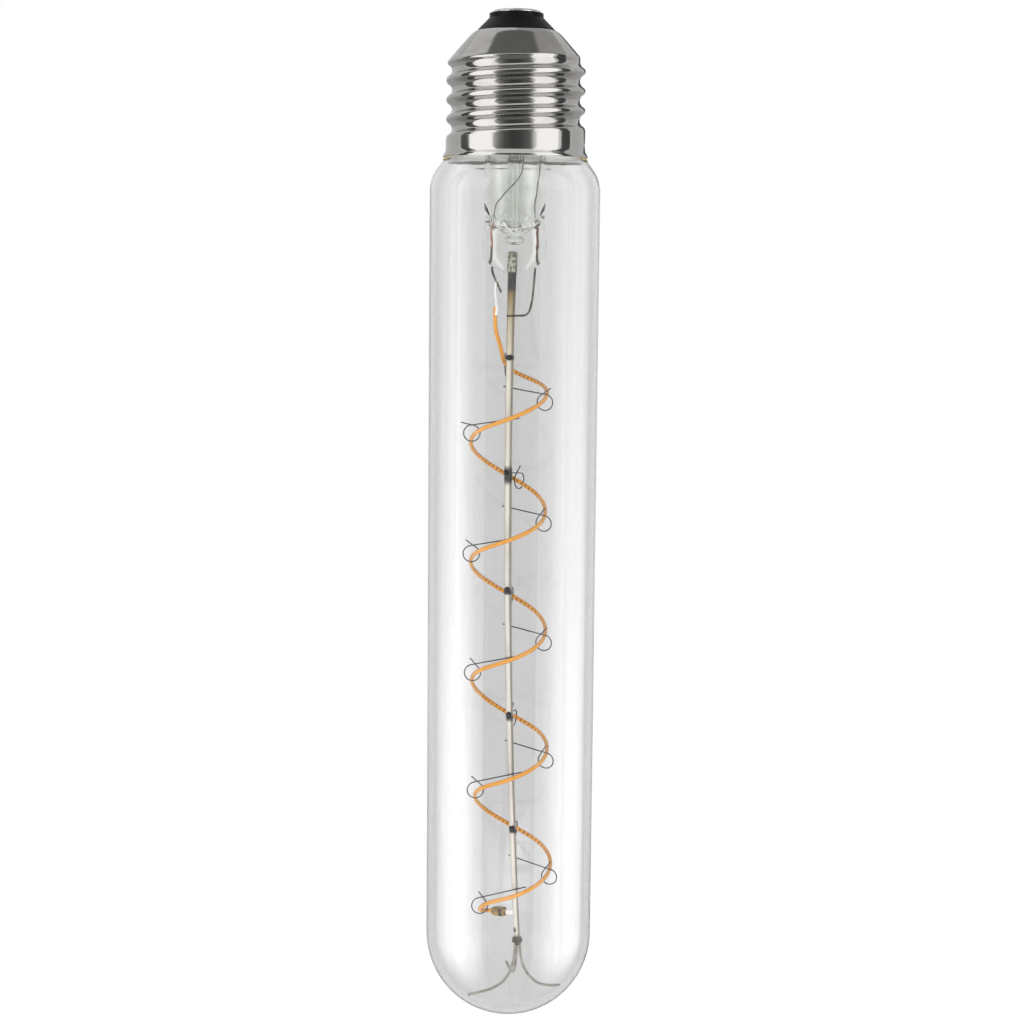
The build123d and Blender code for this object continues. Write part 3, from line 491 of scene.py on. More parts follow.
heights = np.concatenate([np.linspace(MAST_TOP, -49.2, 16), np.linspace(-49.3, -178.9, 400), np.linspace(-178.95, -181.55, 40)])
bead = np.sqrt(np.clip(1.0 - (heights - MAST_FOOT) ** 2, 0, None))
lumps = 1 + 0.14 * np.sin(heights * 9) * (heights < -179.3)
WELDS = {-65.2: 0.5, -87.9: 1.7, -110.7: 0.5, -135.6: 0.5, -158.2: 0.5, -178.3: 0.45}
scorch = np.exp(-((heights[:, None] - np.array(list(WELDS))) / np.array(list(WELDS.values()))) ** 6).max(1)
rod = np.interp(heights, [-181, -150, -110, -58, -53, -49, -48.8], [0.6, 0.64, 0.72, 0.74, 0.78, 0.82, 0.92])
rod = rod + scorch * (0.05 + 0.05 * np.sin(heights * 7)) * (heights > -170)
thick = np.maximum(np.where(heights > MAST_FOOT, rod, 0.1), bead) * lumps
mast = wire_skin("mast_skin", mast_middle(heights), thick, FRONT, sides=28)
around_rod = np.linspace(0, 2 * np.pi, 28, endpoint=False)
burn_rows = np.r_[scorch[0], scorch, scorch[-1]][:, None] * (0.95 + 0 * around_rod)
at_foot = np.r_[heights[0], heights, heights[-1]][:, None] < -175
burn_rows = np.where(at_foot, burn_rows * blend(np.sin(around_rod) / 0.4), burn_rows)
# The tarnish attribute holds painted shade: the rod is darker at both edges and most down its right side, where less
# light falls.
side_shade_rows = 0 * burn_rows + np.interp(-np.sin(around_rod), [-1, -0.75, -0.5, 0, 0.25, 0.5, 0.7, 0.85, 1],
                                         [0.5, 0.12, 0, 0, 0.2, 0.8, 0.85, 0.5, 0.5])
for name, values in {"burn": burn_rows, "tarnish": side_shade_rows}.items():
    attribute = mast.data.attributes.new(name, "FLOAT", "POINT")
    attribute.data.foreach_set("value", np.r_[values[0, 0], values.ravel(), values[-1, 0]].astype(np.float32))
mast_steel, tree, shader = new_finish("mast_steel", {"Metallic": 0.25})
level = node(tree, "SeparateXYZ", {0: node(tree, "TexCoord").outputs["Object"]}).outputs[2]
rubbed = effect_in(tree, streaks, {"Across": 2500.0, "Along": 60.0})
scaled = effect_in(tree, mottle, {"Scale": 1300.0, "Low": 0.56, "High": 0.66})
bands = node(tree, "ValToRGB", {0: node(tree, "MapRange", {0: level, 1: -0.1826, 2: -0.0452}).outputs[0]})
MAST_BANDS = [(-182.6, (0.04, 0.034, 0.028)), (-179.6, (0.05, 0.04, 0.03)), (-179.2, (0.95, 0.9, 0.8)),
              (-120, (0.97, 0.94, 0.87)), (-70, (0.93, 0.88, 0.77)), (-58.5, (0.62, 0.54, 0.37)),
              (-53.5, (0.34, 0.26, 0.12)), (-52.7, (0.22, 0.14, 0.05)), (-52.4, (0.03, 0.028, 0.03)),
              (-49.3, (0.04, 0.04, 0.045)), (-48.8, (0.13, 0.125, 0.09)), (-45.3, (0.2, 0.19, 0.14))]
for band, colour in MAST_BANDS:
    bands.color_ramp.elements.new((band + 182.6) / 137.4).color = (*colour, 1)
bands.color_ramp.elements.remove(bands.color_ramp.elements[0])
bands.color_ramp.elements.remove(bands.color_ramp.elements[-1])
rubbed_dark = ranged(tree, rubbed["Mask"], 0.0, 0.25)
worn = mixed(tree, rubbed_dark, bands.outputs[0], (0.2, 0.18, 0.15, 1))
in_scale = node(tree, "MapRange", {0: level, 1: -0.0526, 2: -0.0522}).outputs[0]
out_scale = node(tree, "MapRange", {0: level, 1: -0.0492, 2: -0.0497}).outputs[0]
in_glass = node(tree, "MapRange", {0: level, 1: -0.049, 2: -0.0487}).outputs[0]
black_scale = node(tree, "Math", {0: in_scale, 1: out_scale}, operation="MULTIPLY").outputs[0]
# The rod's edges and right side take a dark colour here as painted shade.
tarnish = node(tree, "Attribute", attribute_name="tarnish").outputs["Fac"]
painted_side_shade = node(tree, "Math", {0: tarnish, 1: in_scale}, operation="SUBTRACT", use_clamp=True).outputs[0]
worn = mixed(tree, painted_side_shade, worn, (0.16, 0.14, 0.1, 1))
flakes = node(tree, "Math", {0: black_scale, 1: scaled["Mask"]}, operation="MULTIPLY").outputs[0]
flaked = mixed(tree, flakes, worn, (0.26, 0.15, 0.06, 1))
crust = effect_in(tree, mottle, {"Scale": 1900.0, "Low": 0.44, "High": 0.56})
crusted = node(tree, "Math", {0: in_glass, 1: crust["Mask"]}, operation="MULTIPLY").outputs[0]
flaked = mixed(tree, crusted, flaked, (0.62, 0.61, 0.5, 1))
burnt = node(tree, "Attribute", attribute_name="burn").outputs["Fac"]
tree.links.new(mixed(tree, burnt, flaked, (0.012, 0.012, 0.012, 1)), shader.inputs["Base Color"])
tree.links.new(ranged(tree, rubbed["Mask"], 0.28, 0.4), shader.inputs["Roughness"])
bumped(tree, shader, scaled["Height"], 0.2, 0.00008)
fit(mast, mast_steel, "mast_metal", "mast")

# Inner leads: nickel wire from the press, darkened by heat. The left one is bent in to the filament's top tab, and the
# right one swings across and is welded to the front of the mast.
left_run = [(-4.2, 0, -44.3), (-4.2, 0, -47.4), (-4.25, 0, -48.8), (-3.7, 0, -50.2), (-3.0, 0, -51.6), (-2.5, 0, -52.8)]
right_run = [(4.2, 0, -44.3), (4.1, 0, -46.5), (3.95, 0, -49), (3.75, -0.1, -51.5), (3.5, -0.5, -54.5), (2.9, -0.8, -56.6),
             (2.2, -0.82, -57.2), (0.4, -0.82, -57.2), (-1.3, -0.82, -57.3)]
dark_nickel, tree, shader = new_finish("dark_nickel", {"Metallic": 1.0})
blued = effect_in(tree, mottle, {"Scale": 500.0, "Low": 0.42, "High": 0.6})
tree.links.new(mixed(tree, blued["Mask"], (0.28, 0.25, 0.19, 1), (0.07, 0.065, 0.06, 1)), shader.inputs["Base Color"])
tree.links.new(ranged(tree, blued["Mask"], 0.3, 0.45), shader.inputs["Roughness"])
for side, run in {"left": left_run, "right": right_run}.items():
    inner_lead = wire_skin(f"inner_lead_{side}_skin", soft_bends(run), 0.2 if side == "right" else 0.22, FRONT)
    fit(inner_lead, dark_nickel, "nickel_wire", f"inner_lead_{side}")

# Support hooks: thin wire with one end spot welded across the mast and the other bent to an open pigtail ring, which
# holds the filament off the mast. Three stand to each turn, at the back, the right and the left. The hand that set them
# turned each ring a little differently, and the back ones have a ball of black weld on the mast.
HOOK_AZIMUTHS = {"back": 90.0, "right": -30.0, "left": -150.0}
COIL_RADIUS, FILAMENT_RADIUS, FIRST_EYE, TURN_DROP = 7.2, 0.45, -66.5, 23.2
STEPS = {"back": 0.0, "right": 7.0, "left": 13.0}
HOOK_RADIUS, EYE_RADIUS, EYE_REACH, HOOK_SIDE, HOOK_SLOPE = 0.12, 1.55, 7.9, 0.7, np.radians(6)


def hook_path(sweep, twist, tail, wrap):
    """A hook beside a mast on the Z axis: a straight arm that slopes out to the top of an upright ring, the ring carried
    through the sweep and turned by the twist about its top, and a straight tail. wrap draws the stub in to the mast."""
    swing = HOOK_SLOPE + np.linspace(0, np.radians(sweep), 60)
    leaving = np.array([np.cos(swing[-1]), 0, -np.sin(swing[-1])])
    aside = HOOK_SIDE + 0.5 * np.linspace(0, 1, 60)
    ring = np.stack([EYE_REACH + EYE_RADIUS * np.sin(swing), aside, EYE_RADIUS * np.cos(swing)], 1)
    ring = np.vstack([ring, ring[-1] + leaving * np.linspace(0.1, tail, 14)[:, None]])
    cosine, sine = np.cos(np.radians(twist)), np.sin(np.radians(twist))
    off = ring - ring[0]
    ring = ring[0] + np.stack([off[:, 0] * cosine - off[:, 1] * sine, off[:, 0] * sine + off[:, 1] * cosine, off[:, 2]], 1)
    ahead = np.array([np.cos(HOOK_SLOPE), 0, -np.sin(HOOK_SLOPE)])
    arm = ring[0] - ahead * np.linspace((ring[0, 0] + 1.9) / ahead[0], 0.02, 40)[:, None]
    arm[:, 1] -= wrap * HOOK_SIDE * blend((-0.2 - arm[:, 0]) / 0.6)
    path = np.vstack([arm, ring])
    lean = -np.arctan2(HOOK_SIDE + 0.25, EYE_REACH)
    cosine, sine = np.cos(lean), np.sin(lean)
    return np.stack([path[:, 0] * cosine - path[:, 1] * sine, path[:, 0] * sine + path[:, 1] * cosine, path[:, 2]], 1)


TWISTS = {"back": (0, -8, 0, 0, 0), "right": (22, 20, 24, 18, 20), "left": (-20, -18, -22, -17, -20)}
SWEEPS = {"back": (300, 310, 300, 305, 300), "right": (318, 300, 308, 296, 300), "left": (340, 318, 305, 312, 300)}
SWINGS = {"back": (5, -16, -4, -6, -3)}
SHIFTS = {"back": (-1.2, -0.1, 0.3, -1.2, -0.8)}
hook_wire, tree, shader = new_finish("hook_wire", {"Metallic": 1.0})
tarnish = effect_in(tree, mottle, {"Scale": 900.0})
drawn = mixed(tree, tarnish["Mask"], (0.1, 0.1, 0.1, 1), (0.045, 0.044, 0.045, 1))
welded = node(tree, "Attribute", attribute_name="weld").outputs["Fac"]
tree.links.new(mixed(tree, welded, drawn, (0.008, 0.008, 0.008, 1)), shader.inputs["Base Color"])
tree.links.new(ranged(tree, tarnish["Mask"], 0.35, 0.5), shader.inputs["Roughness"])
for place, azimuth in HOOK_AZIMUTHS.items():
    for number in range(1, 6):
        swing = np.radians(azimuth + SWINGS.get(place, [0] * 5)[number - 1])
        cosine, sine = np.cos(swing), np.sin(swing)
        level = FIRST_EYE - STEPS[place] - TURN_DROP * (number - 1) + SHIFTS.get(place, [0] * 5)[number - 1]
        plain = hook_path(SWEEPS[place][number - 1], TWISTS[place][number - 1], 2.5, float(place == "back"))
        x, y, z = plain.T
        turned = np.stack([x * cosine - y * sine, x * sine + y * cosine, z], 1)
        weld = (place == "back") * np.sqrt(np.clip(1 - ((x + 0.85) / 0.6) ** 2, 0, 1))
        hook = wire_skin(f"hook_{place}_{number}_skin", turned + mast_middle(np.array([level])), HOOK_RADIUS + 0.45 * weld,
                         np.array([-sine, cosine, 0.02]), sides=10)
        weld = np.repeat(np.r_[weld[0], weld, weld[-1]], 10)
        scorched = hook.data.attributes.new("weld", "FLOAT", "POINT")
        scorched.data.foreach_set("value", np.r_[weld[0], np.clip(3 * weld, 0, 1), weld[-1]].astype(np.float32))
        fit(hook, hook_wire, "hook_wire", f"hook_{place}_{number}")

# Flexible filament: a strip of tiny chips cast into orange phosphor silicone. The face away from the mast is smooth,
# and on the face towards it the chips and their joints show as brown dashes.
TOP_END, FOOT_AZIMUTH, FOOT_RADIUS = np.array([-3.6, -0.425, -55.7]), 166.0, 4.8
TOP_BENDS = [(0.12, 183.0, 3.05), (0.36, 160.0, 3.0), (0.65, 118.5, 3.9), (0.93, 97.0, 6.45)]
FOOT_BENDS = [(0.35, 12.0, 7.2), (0.65, 23.0, 7.1), (0.9, 35.0, 6.5)]


def curve_through(points, count):
    """Points evenly along the natural cubic spline through the given points, with the chord lengths as its parameter.
    Its second derivatives solve the usual three-term equations."""
    knots = np.r_[0, np.cumsum(np.linalg.norm(np.diff(points, axis=0), axis=1))]
    run, size = np.diff(knots)[:, None], len(points)
    inside = np.arange(1, size - 1)
    system, wanted = np.eye(size), np.zeros((size, 3))
    system[inside, inside - 1], system[inside, inside + 1] = run[:-1, 0], run[1:, 0]
    system[inside, inside] = 2 * (run[:-1, 0] + run[1:, 0])
    slope = np.diff(points, axis=0) / run
    wanted[1:-1] = 6 * np.diff(slope, axis=0)
    second = np.linalg.solve(system, wanted)
    at = np.linspace(0, knots[-1], count)
    k = np.clip(np.searchsorted(knots, at, side="right") - 1, 0, size - 2)
    left, right, step = (knots[k + 1] - at)[:, None], (at - knots[k])[:, None], run[k]
    bend = (second[k] * left**3 + second[k + 1] * right**3) / (6 * step)
    return bend + (points[k] / step - second[k] * step / 6) * left + (points[k + 1] / step - second[k + 1] * step / 6) * right


def about_mast(azimuth, height, radius):
    """Points at an azimuth and radius about the mast's middle at a height."""
    azimuth, height = np.radians(azimuth), np.asarray(height, float)
    return mast_middle(height) + np.stack([radius * np.cos(azimuth), radius * np.sin(azimuth), 0 * height], -1)


turn = np.repeat(np.arange(5), 3)
eye_azimuth = np.tile(list(HOOK_AZIMUTHS.values()), 5) - 360 * turn
eye_level = FIRST_EYE - np.tile(list(STEPS.values()), 5) - TURN_DROP * turn
eye_level[[0, 3, 6, 9]] += [-1.2, 1.0, 0.7, -0.3]
between = np.arange(0, 14.5, 0.5)
eye_azimuth, eye_level = np.interp(between, np.arange(15), eye_azimuth), np.interp(between, np.arange(15), eye_level)
top, foot = np.array(TOP_BENDS), np.array(FOOT_BENDS)
route = np.vstack([
    TOP_END, TOP_END - [0, 0, 0.3],
    about_mast(top[:, 1], TOP_END[2] + (eye_level[0] - TOP_END[2]) * top[:, 0], top[:, 2]),
    about_mast(eye_azimuth, eye_level, COIL_RADIUS),
    about_mast(eye_azimuth[-1] - foot[:, 1], eye_level[-1] - 2.6 * foot[:, 0], foot[:, 2]),
    about_mast(np.array([FOOT_AZIMUTH] * 2), eye_level[-1] - np.array([2.6, 2.6]), np.array([FOOT_RADIUS + 0.3, FOOT_RADIUS])),
])
line = curve_through(route, 1400)
outward = line - mast_middle(line[:, 2])
outward /= np.linalg.norm(outward, axis=1, keepdims=True)
filament = wire_skin("filament_skin", line, 0.9 * FILAMENT_RADIUS, outward, sides=20, flat=0.92)
along = np.r_[0, 0, np.cumsum(np.r_[0, np.linalg.norm(np.diff(line, axis=0), axis=1)]), 0, 0]
along[-2:] = along[-3]
ring = np.cos(np.linspace(0, 2 * np.pi, 20, endpoint=False))
run_on = np.concatenate([along[:1], np.repeat(along[1:-1], 20), along[-1:]])
facing = np.concatenate([[0], np.tile(ring, len(along) - 2), [0]])
for name, values in {"run": run_on, "outward": facing}.items():
    attribute = filament.data.attributes.new(name, "FLOAT", "POINT")
    attribute.data.foreach_set("value", values.astype(np.float32))
phosphor, tree, shader = new_finish("phosphor_silicone", {"Specular IOR Level": 0.35})
length = node(tree, "Attribute", attribute_name="run").outputs["Fac"]
face = node(tree, "Attribute", attribute_name="outward").outputs["Fac"]
inner_face = node(tree, "MapRange", {0: face, 1: -0.25, 2: -0.55}).outputs[0]
beat = node(tree, "Math", {0: length, 1: 0.5}, operation="PINGPONG").outputs[0]
dash = node(tree, "MapRange", {0: beat, 1: 0.22, 2: 0.36}).outputs[0]
past_top = node(tree, "MapRange", {0: length, 1: 10.5, 2: 12.0}).outputs[0]
inner_face = node(tree, "Math", {0: inner_face, 1: past_top}, operation="MULTIPLY").outputs[0]
dash = node(tree, "Math", {0: dash, 1: inner_face}, operation="MULTIPLY").outputs[0]
patchy = effect_in(tree, mottle, {"Scale": 700.0, "Low": 0.35, "High": 0.7})
skin_colour = mixed(tree, patchy["Mask"], (0.92, 0.42, 0.065, 1), (0.86, 0.37, 0.05, 1))
shaded = mixed(tree, ranged(tree, inner_face, 0.0, 0.6), skin_colour, (0.85, 0.36, 0.035, 1))
tree.links.new(mixed(tree, dash, shaded, (0.42, 0.17, 0.02, 1)), shader.inputs["Base Color"])
tree.links.new(ranged(tree, patchy["Mask"], 0.4, 0.55), shader.inputs["Roughness"])
bumped(tree, shader, dash, 0.3, 0.0001)
fit(filament, phosphor, "phosphor", "filament")

# Filament ends: a thin bright tab welded to the left lead at the top, and at the bottom a crimped ferrule, dark with
# silicone, and a short flat tab to the mast.


def strip_skin(name, path, width, thick, across):
    """A flat strip: a rounded rectangle carried square to the path, with width measured along the across direction."""
    path = np.asarray(path, float)
    ahead = np.gradient(path, axis=0)
    ahead /= np.linalg.norm(ahead, axis=1, keepdims=True)
    side = across - (across * ahead).sum(1, keepdims=True) * ahead
    side /= np.linalg.norm(side, axis=1, keepdims=True)
    other = np.cross(ahead, side)
    angle = np.linspace(0, 2 * np.pi, 24, endpoint=False)[None, :, None]
    box = [np.sign(f(angle)) * np.abs(f(angle)) ** 0.35 for f in (np.cos, np.sin)]
    half, deep = np.broadcast_to(width, len(path)) / 2, np.broadcast_to(thick, len(path)) / 2
    body = path[:, None] + half[:, None, None] * box[0] * side[:, None] + deep[:, None, None] * box[1] * other[:, None]
    return lay_skin(name, np.concatenate([body[:1] * 0 + path[0], body, body[-1:] * 0 + path[-1]]), poles=(True, True))


tab_heights = np.linspace(-50.5, -57.2, 40)
crank = blend((-54.8 - tab_heights) / 1.2)
tab_x = -3.55 + 0.12 * np.sin(tab_heights) + 0.2 * blend((tab_heights + 53) / 3) + 0.25 * crank
tab_run = np.stack([tab_x, -0.12 - 0.66 * crank, tab_heights], 1)
top_tab = strip_skin("filament_tab_top_skin", tab_run, np.where(tab_heights > -55, 0.36, 0.5), 0.16, np.array([1.0, 0, 0]))
bright_strip, tree, shader = new_finish("bright_strip", {"Metallic": 0.0})
worn = effect_in(tree, mottle, {"Scale": 1200.0})
tree.links.new(mixed(tree, worn["Mask"], (1.0, 0.99, 0.95, 1), (0.9, 0.88, 0.83, 1)), shader.inputs["Base Color"])
tree.links.new(ranged(tree, worn["Mask"], 0.3, 0.5), shader.inputs["Roughness"])
fit(top_tab, bright_strip, "tab_metal", "filament_tab_top")

foot_end = about_mast(np.array([FOOT_AZIMUTH]), np.array([eye_level[-1] - 2.6]), FOOT_RADIUS)[0]
inward = -np.array([np.cos(np.radians(FOOT_AZIMUTH)), np.sin(np.radians(FOOT_AZIMUTH)), 0])
reach = np.linspace(-0.2, 2.7, 40)
waist = 1.75 - 0.55 * blend((0.7 - reach) / 0.9) + 0.12 * np.sin(reach * 9)
ferrule = strip_skin("filament_ferrule_skin", foot_end + inward * reach[:, None], waist, 0.75 * waist, UP)
ferrule_crust, tree, shader = new_finish("ferrule_crust", {"Metallic": 0.25})
crust = effect_in(tree, mottle, {"Scale": 1500.0, "Low": 0.42, "High": 0.58})
tree.links.new(mixed(tree, crust["Mask"], (0.42, 0.27, 0.09, 1), (0.05, 0.035, 0.02, 1)), shader.inputs["Base Color"])
tree.links.new(ranged(tree, crust["Mask"], 0.35, 0.65), shader.inputs["Roughness"])
bumped(tree, shader, crust["Height"], 0.6, 0.0003)
fit(ferrule, ferrule_crust, "ferrule_metal", "filament_ferrule")
reach = np.linspace(2.7, 4.25, 12)
foot_tab = strip_skin("filament_tab_bottom_skin", foot_end + inward * reach[:, None], 0.95, 0.3, UP)
fit(foot_tab, bright_strip, "tab_metal", "filament_tab_bottom")

# Spring legs: three bent wires welded in the bead at the mast's foot. Their toes rest near the inside of the dome and
# keep the mast from swinging.
LEG_AZIMUTHS = {"right": -19.0, "back": 101.0, "left": 221.0}
LEG_DROP, LEG_RADIUS = 8.3, 0.27
leg_wire, tree, shader = new_finish("leg_wire", {"Metallic": 0.6})
dull = effect_in(tree, mottle, {"Scale": 600.0})
tree.links.new(mixed(tree, dull["Mask"], (0.55, 0.53, 0.48, 1), (0.36, 0.34, 0.3, 1)), shader.inputs["Base Color"])
tree.links.new(ranged(tree, dull["Mask"], 0.3, 0.45), shader.inputs["Roughness"])
mast_end = mast_middle(np.array([MAST_FOOT]))[0]
for place, azimuth in LEG_AZIMUTHS.items():
    out = np.array([np.cos(np.radians(azimuth)), np.sin(np.radians(azimuth)), 0])
    low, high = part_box(f"spring_leg_{place}")
    corners = np.array([low, high])[:, :2] / MM - mast_end[:2]
    toe = np.abs(corners * out[:2]).max(0).sum() - 0.3
    run = mast_end + np.array([out * 0.45 + UP * 0.5, out * 0.6 - UP * 2.5, out * 1.3 - UP * 5.6, out * 3.4 - UP * 8.0,
                               out * (0.6 * toe) - UP * 8.75, out * toe - UP * LEG_DROP])
    leg = wire_skin(f"spring_leg_{place}_skin", soft_bends(run, 5), LEG_RADIUS, np.cross(out, UP))
    fit(leg, leg_wire, "hook_wire", f"spring_leg_{place}")

# Driver: a small board over the stem's flare, hidden in the cap, with its parts and the wires to the two contacts.
# The solids keep their shapes and take the finishes of laminate, moulding, can, lacquer and copper.


def plain_finish(name, light, dark, scale, rough, metallic=0.0):
    """A finish of two colours in cloudy patches, with a roughness that follows them."""
    finish, tree, shader = new_finish(name, {"Metallic": metallic})
    patches = effect_in(tree, mottle, {"Scale": scale})
    tree.links.new(mixed(tree, patches["Mask"], light, dark), shader.inputs["Base Color"])
    tree.links.new(ranged(tree, patches["Mask"], *rough), shader.inputs["Roughness"])
    bumped(tree, shader, patches["Height"], 0.15, 0.00008)
    return finish


laminate = plain_finish("green_laminate", (0.06, 0.24, 0.1, 1), (0.04, 0.17, 0.07, 1), 600.0, (0.35, 0.5))
moulding = plain_finish("black_moulding", (0.025, 0.025, 0.025, 1), (0.015, 0.015, 0.016, 1), 2500.0, (0.5, 0.65))
can = plain_finish("drawn_can", (0.72, 0.72, 0.73, 1), (0.58, 0.58, 0.6, 1), 800.0, (0.25, 0.4), 1.0)
lacquer = plain_finish("fuse_lacquer", (0.3, 0.42, 0.32, 1), (0.22, 0.34, 0.25, 1), 900.0, (0.3, 0.45))
copper = plain_finish("bare_copper", (0.75, 0.42, 0.27, 1), (0.55, 0.3, 0.18, 1), 900.0, (0.25, 0.4), 1.0)
driver = {"driver_board": laminate, "driver_chip": moulding, "bridge_rectifier": moulding, "smoothing_capacitor": can,
          "fuse_resistor": lacquer, "tip_wire": copper, "shell_wire": copper}
for name, finish in driver.items():
    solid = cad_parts[name]
    solid.data.materials.clear()
    solid.data.materials.append(finish)

# Studio: a pale floor well below the hanging lamp, a white surround, two soft boxes and a fill beside the camera, and
# cards that only reflections see: dark cloths, dark flags, tall strips of light and grey sides.
scene = bpy.context.scene
scene.view_settings.view_transform = "Standard"
world = bpy.data.worlds.new("white_surround")
world.use_nodes = True
scene.world = world
white = world.node_tree.nodes["Background"]
white.inputs["Color"].default_value, white.inputs["Strength"].default_value = (1, 1, 1, 1), 1.0


def card(name, grid, finish):
    """A sheet of the studio over a grid of points in millimetres."""
    sheet = lay_skin(name, grid, ring=False)
    sheet.data.materials.append(finish)
    return sheet


glowing = bpy.data.materials.new("studio_glow")
glowing.use_nodes = True
tree = glowing.node_tree
tree.nodes.remove(tree.nodes["Principled BSDF"])
glow = node(tree, "Emission", {"Strength": node(tree, "Attribute", attribute_name="glow").outputs["Fac"]})
tree.links.new(glow.outputs[0], tree.nodes["Material Output"].inputs["Surface"])


def glow_card(name, grid, glow, through_glass=False):
    """A sheet that only mirror reflections see, with its own brightness at each point of its grid."""
    sheet = card(name, grid, glowing)
    level = sheet.data.attributes.new("glow", "FLOAT", "POINT")
    level.data.foreach_set("value", np.broadcast_to(glow, grid.shape[:2]).astype(np.float32).ravel())
    sheet.visible_camera = sheet.visible_diffuse = sheet.visible_shadow = False
    sheet.visible_transmission = through_glass


def around(azimuths, elevations, radius, centre):
    """A patch of a sphere about a point of the lamp's axis: azimuth 0 is the camera's side and positive to the right."""
    azimuth, elevation = np.meshgrid(np.radians(azimuths), np.radians(elevations))
    flat = radius * np.cos(elevation)
    return np.stack([flat * np.sin(azimuth), -flat * np.cos(azimuth), centre + radius * np.sin(elevation)], -1)


floor_finish = bpy.data.materials.new("pale_floor")
floor_finish.use_nodes = True
tree = floor_finish.node_tree
shader = tree.nodes["Principled BSDF"]
shader.inputs["Base Color"].default_value = (0.86, 0.86, 0.86, 1)
shader.inputs["Roughness"].default_value = 0.8
seen = node(tree, "LightPath").outputs
straight = node(tree, "Math", {0: seen["Is Camera Ray"], 1: seen["Is Glossy Ray"]}, operation="MAXIMUM").outputs[0]
straight = node(tree, "Math", {0: straight, 1: seen["Is Transmission Ray"]}, operation="MAXIMUM").outputs[0]
shader.inputs["Emission Color"].default_value = (1, 1, 1, 1)
tree.links.new(ranged(tree, straight, 0.0, 0.13), shader.inputs["Emission Strength"])
spread = np.linspace(-6000, 6000, 3)
card("floor", np.stack([*np.meshgrid(spread, spread), np.full((3, 3), -420.0)], -1), floor_finish)


def hood(across, rise):
    """A patch of a sphere whose poles lie left and right: rise turns from the camera's side up and over the lamp."""
    across, rise = np.meshgrid(np.radians(across), np.radians(rise))
    flat = np.cos(across)
    return 900 * np.stack([np.sin(across), -np.cos(rise) * flat, np.sin(rise) * flat], -1)[:, ::-1] + [0, 0, -20]


across = np.linspace(-38, 31, 40)
front_glow = np.interp(across, [-38, -35, -26, -18, -6, 7, 24, 28, 31], [1, 0.6, 0.26, 0.12, 0.075, 0.085, 0.18, 0.5, 1])
glow_card("front_cloth", hood(across, np.linspace(-60, 40, 30)), front_glow[::-1])
glow_card("top_light", hood(across, np.linspace(40, 64, 12)), 0.9)
glow_card("upper_cloth", hood(np.linspace(-39, 20, 24), np.linspace(64, 100, 20)), 0.19)
lower = np.linspace(-88, -24, 33)
about = np.linspace(-180, 180, 73)
beside = np.interp(np.abs(about), [50, 90], [0, 1])
lower_glow = 0.2 + beside * np.interp(lower, [-44, -24], [0, 0.3])[:, None]
glow_card("lower_cloth", around(about, lower, 390, -20), lower_glow)
low_glow = np.interp(np.linspace(-24, 1, 16), [-24, -8, 1], [0.5, 0.5, 0.68])[:, None]
for sign, side in {-1: "left", 1: "right"}.items():
    flag = around(sign * np.linspace(80, 101, 8), np.linspace(-24, 40, 16), 385, -20)
    low_side = around(sign * np.linspace(32, 150, 24), np.linspace(-24, 1, 16), 390, -20)
    far_side = around(sign * np.linspace(150, 178, 12), np.linspace(-24, 1, 16), 390, -20)
    side_cloth = around(sign * np.linspace(104, 178, 24), np.linspace(1, 38, 16), 392, -20)
    ceiling = around(sign * np.linspace(0, 180, 25), np.linspace(38, 90, 14), 1000, -20)
    glow_card(f"flag_{side}", flag, 0.09)
    glow_card(f"low_side_{side}", low_side, low_glow)
    glow_card(f"far_side_{side}", far_side, 0.45)
    glow_card(f"side_cloth_{side}", side_cloth, 0.68)
    glow_card(f"ceiling_{side}", ceiling, 0.65 - sign * 0.15)
strip_rise = np.linspace(-62, 62, 32)
strip_glow = np.interp(np.abs(strip_rise), [40, 62], [1.75, 0.5])[:, None]
for side, middle, reach in (("left", -59, 22), ("right", 54, 20)):
    strip = around(np.linspace(middle - reach, middle + reach, 12), strip_rise, 380, -20)
    glow_card(f"strip_light_{side}", strip, strip_glow)
glow_card("edge_flag", around(np.linspace(152, 172, 8), np.linspace(2, 22, 8), 385, -20), 0.09)

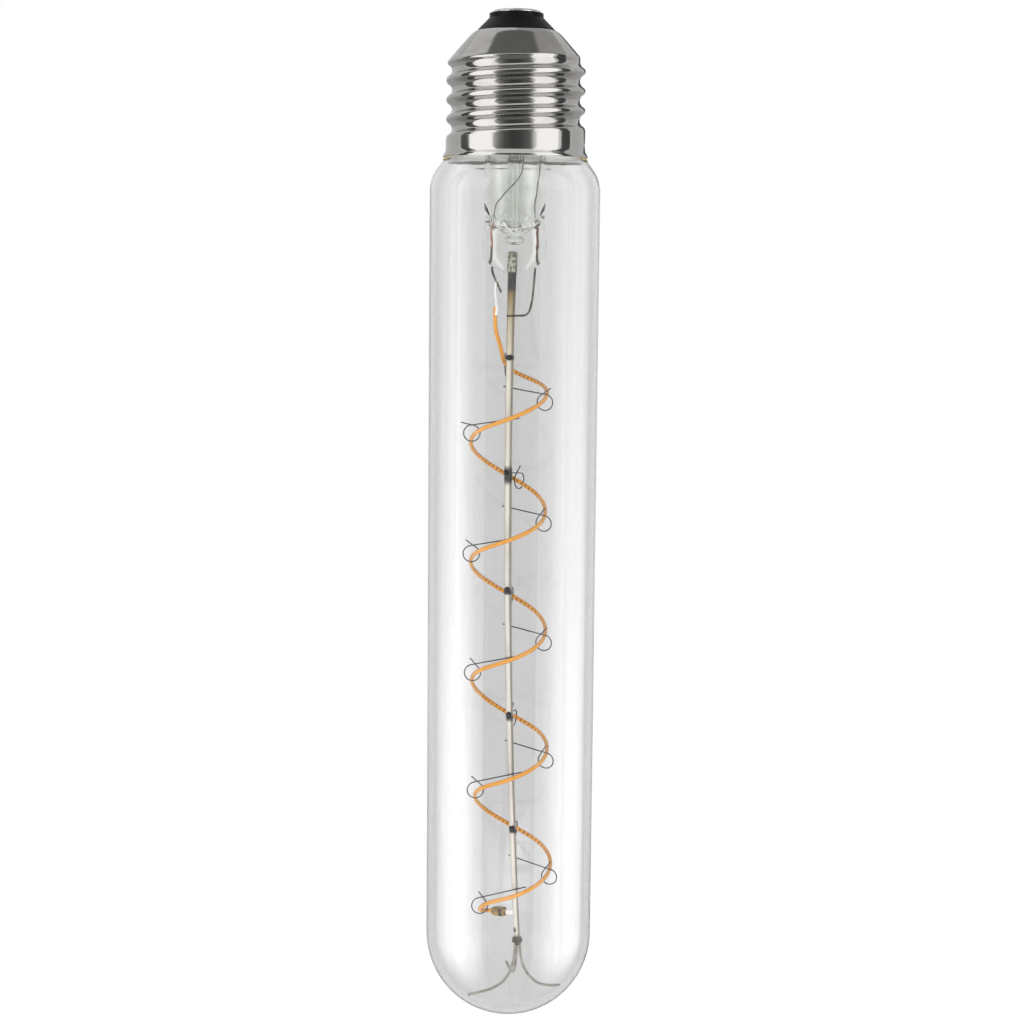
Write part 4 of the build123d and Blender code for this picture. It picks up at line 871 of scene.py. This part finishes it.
# Bright panels behind the lamp, which only the glass shows: they draw the light bands down its two sides
PANEL_DISTANCE = 300.0
upright = np.linspace(-400, 100, 101)
PANELS = {"left": ([-78, -60, -48, -36, -27, -21, -15], [0, 0.3, 0.5, 1, 0.42, 0, 0], [0.1, 0.55, 0.85, 1, 0.7, 0.3, 0]),
          "right": ([12, 18, 26, 36, 48, 61, 74], [0, 0, 0.4, 0.9, 0.85, 0.5, 0], [0, 0.12, 0.55, 0.95, 1, 0.9, 0.35])}
fading = np.interp(upright, [-340, -315, -290, -200, 20], [0, 0.25, 0.85, 0.85, 0.4])[:, None]
for side, (steps, *gains) in PANELS.items():
    sideways = np.linspace(steps[0], steps[-1], 24)
    x, z = np.meshgrid(sideways, upright)
    panel = np.stack([x + (0.01 if side == "right" else -0.02) * (z + 35), 0 * x + PANEL_DISTANCE, z], -1)
    above, below = (np.interp(sideways, steps, gain) for gain in gains)
    share = np.interp(upright, [-230, -20], [1, 0])[:, None]
    gain = (share * below + (1 - share) * above) * fading
    glow_card(f"panel_{side}", panel, 1 + gain, True)
    bpy.data.objects[f"panel_{side}"].visible_glossy = False


def soft_box(name, azimuth, elevation, distance, size, power):
    """A soft box on a sphere about the lamp, turned to face the lamp's middle."""
    lamp = bpy.data.lights.new(name, "AREA")
    lamp.shape, lamp.size, lamp.size_y = "RECTANGLE", size[0], size[1]
    lamp.energy = power
    box = bpy.data.objects.new(name, lamp)
    place = around([azimuth], [elevation], distance, -20)[0, 0] * MM
    ahead = np.array([0, 0, -0.02]) - place
    ahead /= np.linalg.norm(ahead)
    right = np.cross(ahead, UP)
    right /= np.linalg.norm(right)
    turn = np.eye(4)
    turn[:3, 0], turn[:3, 1], turn[:3, 2], turn[:3, 3] = right, np.cross(right, ahead), -ahead, place
    box.matrix_world = Matrix(turn)
    box.visible_camera = False
    scene.collection.objects.link(box)
    return box


soft_box("soft_box_left", -59, 18.5, 620, (0.5, 0.38), 0.6)
soft_box("soft_box_right", 54, 18.5, 620, (0.44, 0.38), 0.53)
fill = soft_box("front_fill", -8, -12, 1000, (0.8, 0.3), 8.5)
fill.visible_glossy = fill.visible_transmission = False

# Camera: at the photograph's height and distance, a little above the lamp's middle and turned a touch on its own axis.
CAMERA_RISE, CAMERA_DISTANCE, CAMERA_AIM, CAMERA_ROLL = np.radians(7.0), 416.0, -95.1, np.radians(0.53)
eye = np.array([0, -np.cos(CAMERA_RISE), np.sin(CAMERA_RISE)])
lens = bpy.data.cameras.new("camera")
lens.sensor_width, lens.lens = 36.0, 75.6
lens.clip_start = 0.01
camera = bpy.data.objects.new("camera", lens)
right, upward = np.array([1.0, 0, 0]), np.cross(eye, [1.0, 0, 0])
turn = np.eye(4)
turn[:3, 0] = right * np.cos(CAMERA_ROLL) + upward * np.sin(CAMERA_ROLL)
turn[:3, 1] = upward * np.cos(CAMERA_ROLL) - right * np.sin(CAMERA_ROLL)
turn[:3, 2] = eye
turn[:3, 3] = (eye * CAMERA_DISTANCE + [0, 0, CAMERA_AIM]) * MM
camera.matrix_world = Matrix(turn)
scene.collection.objects.link(camera)
scene.camera = camera
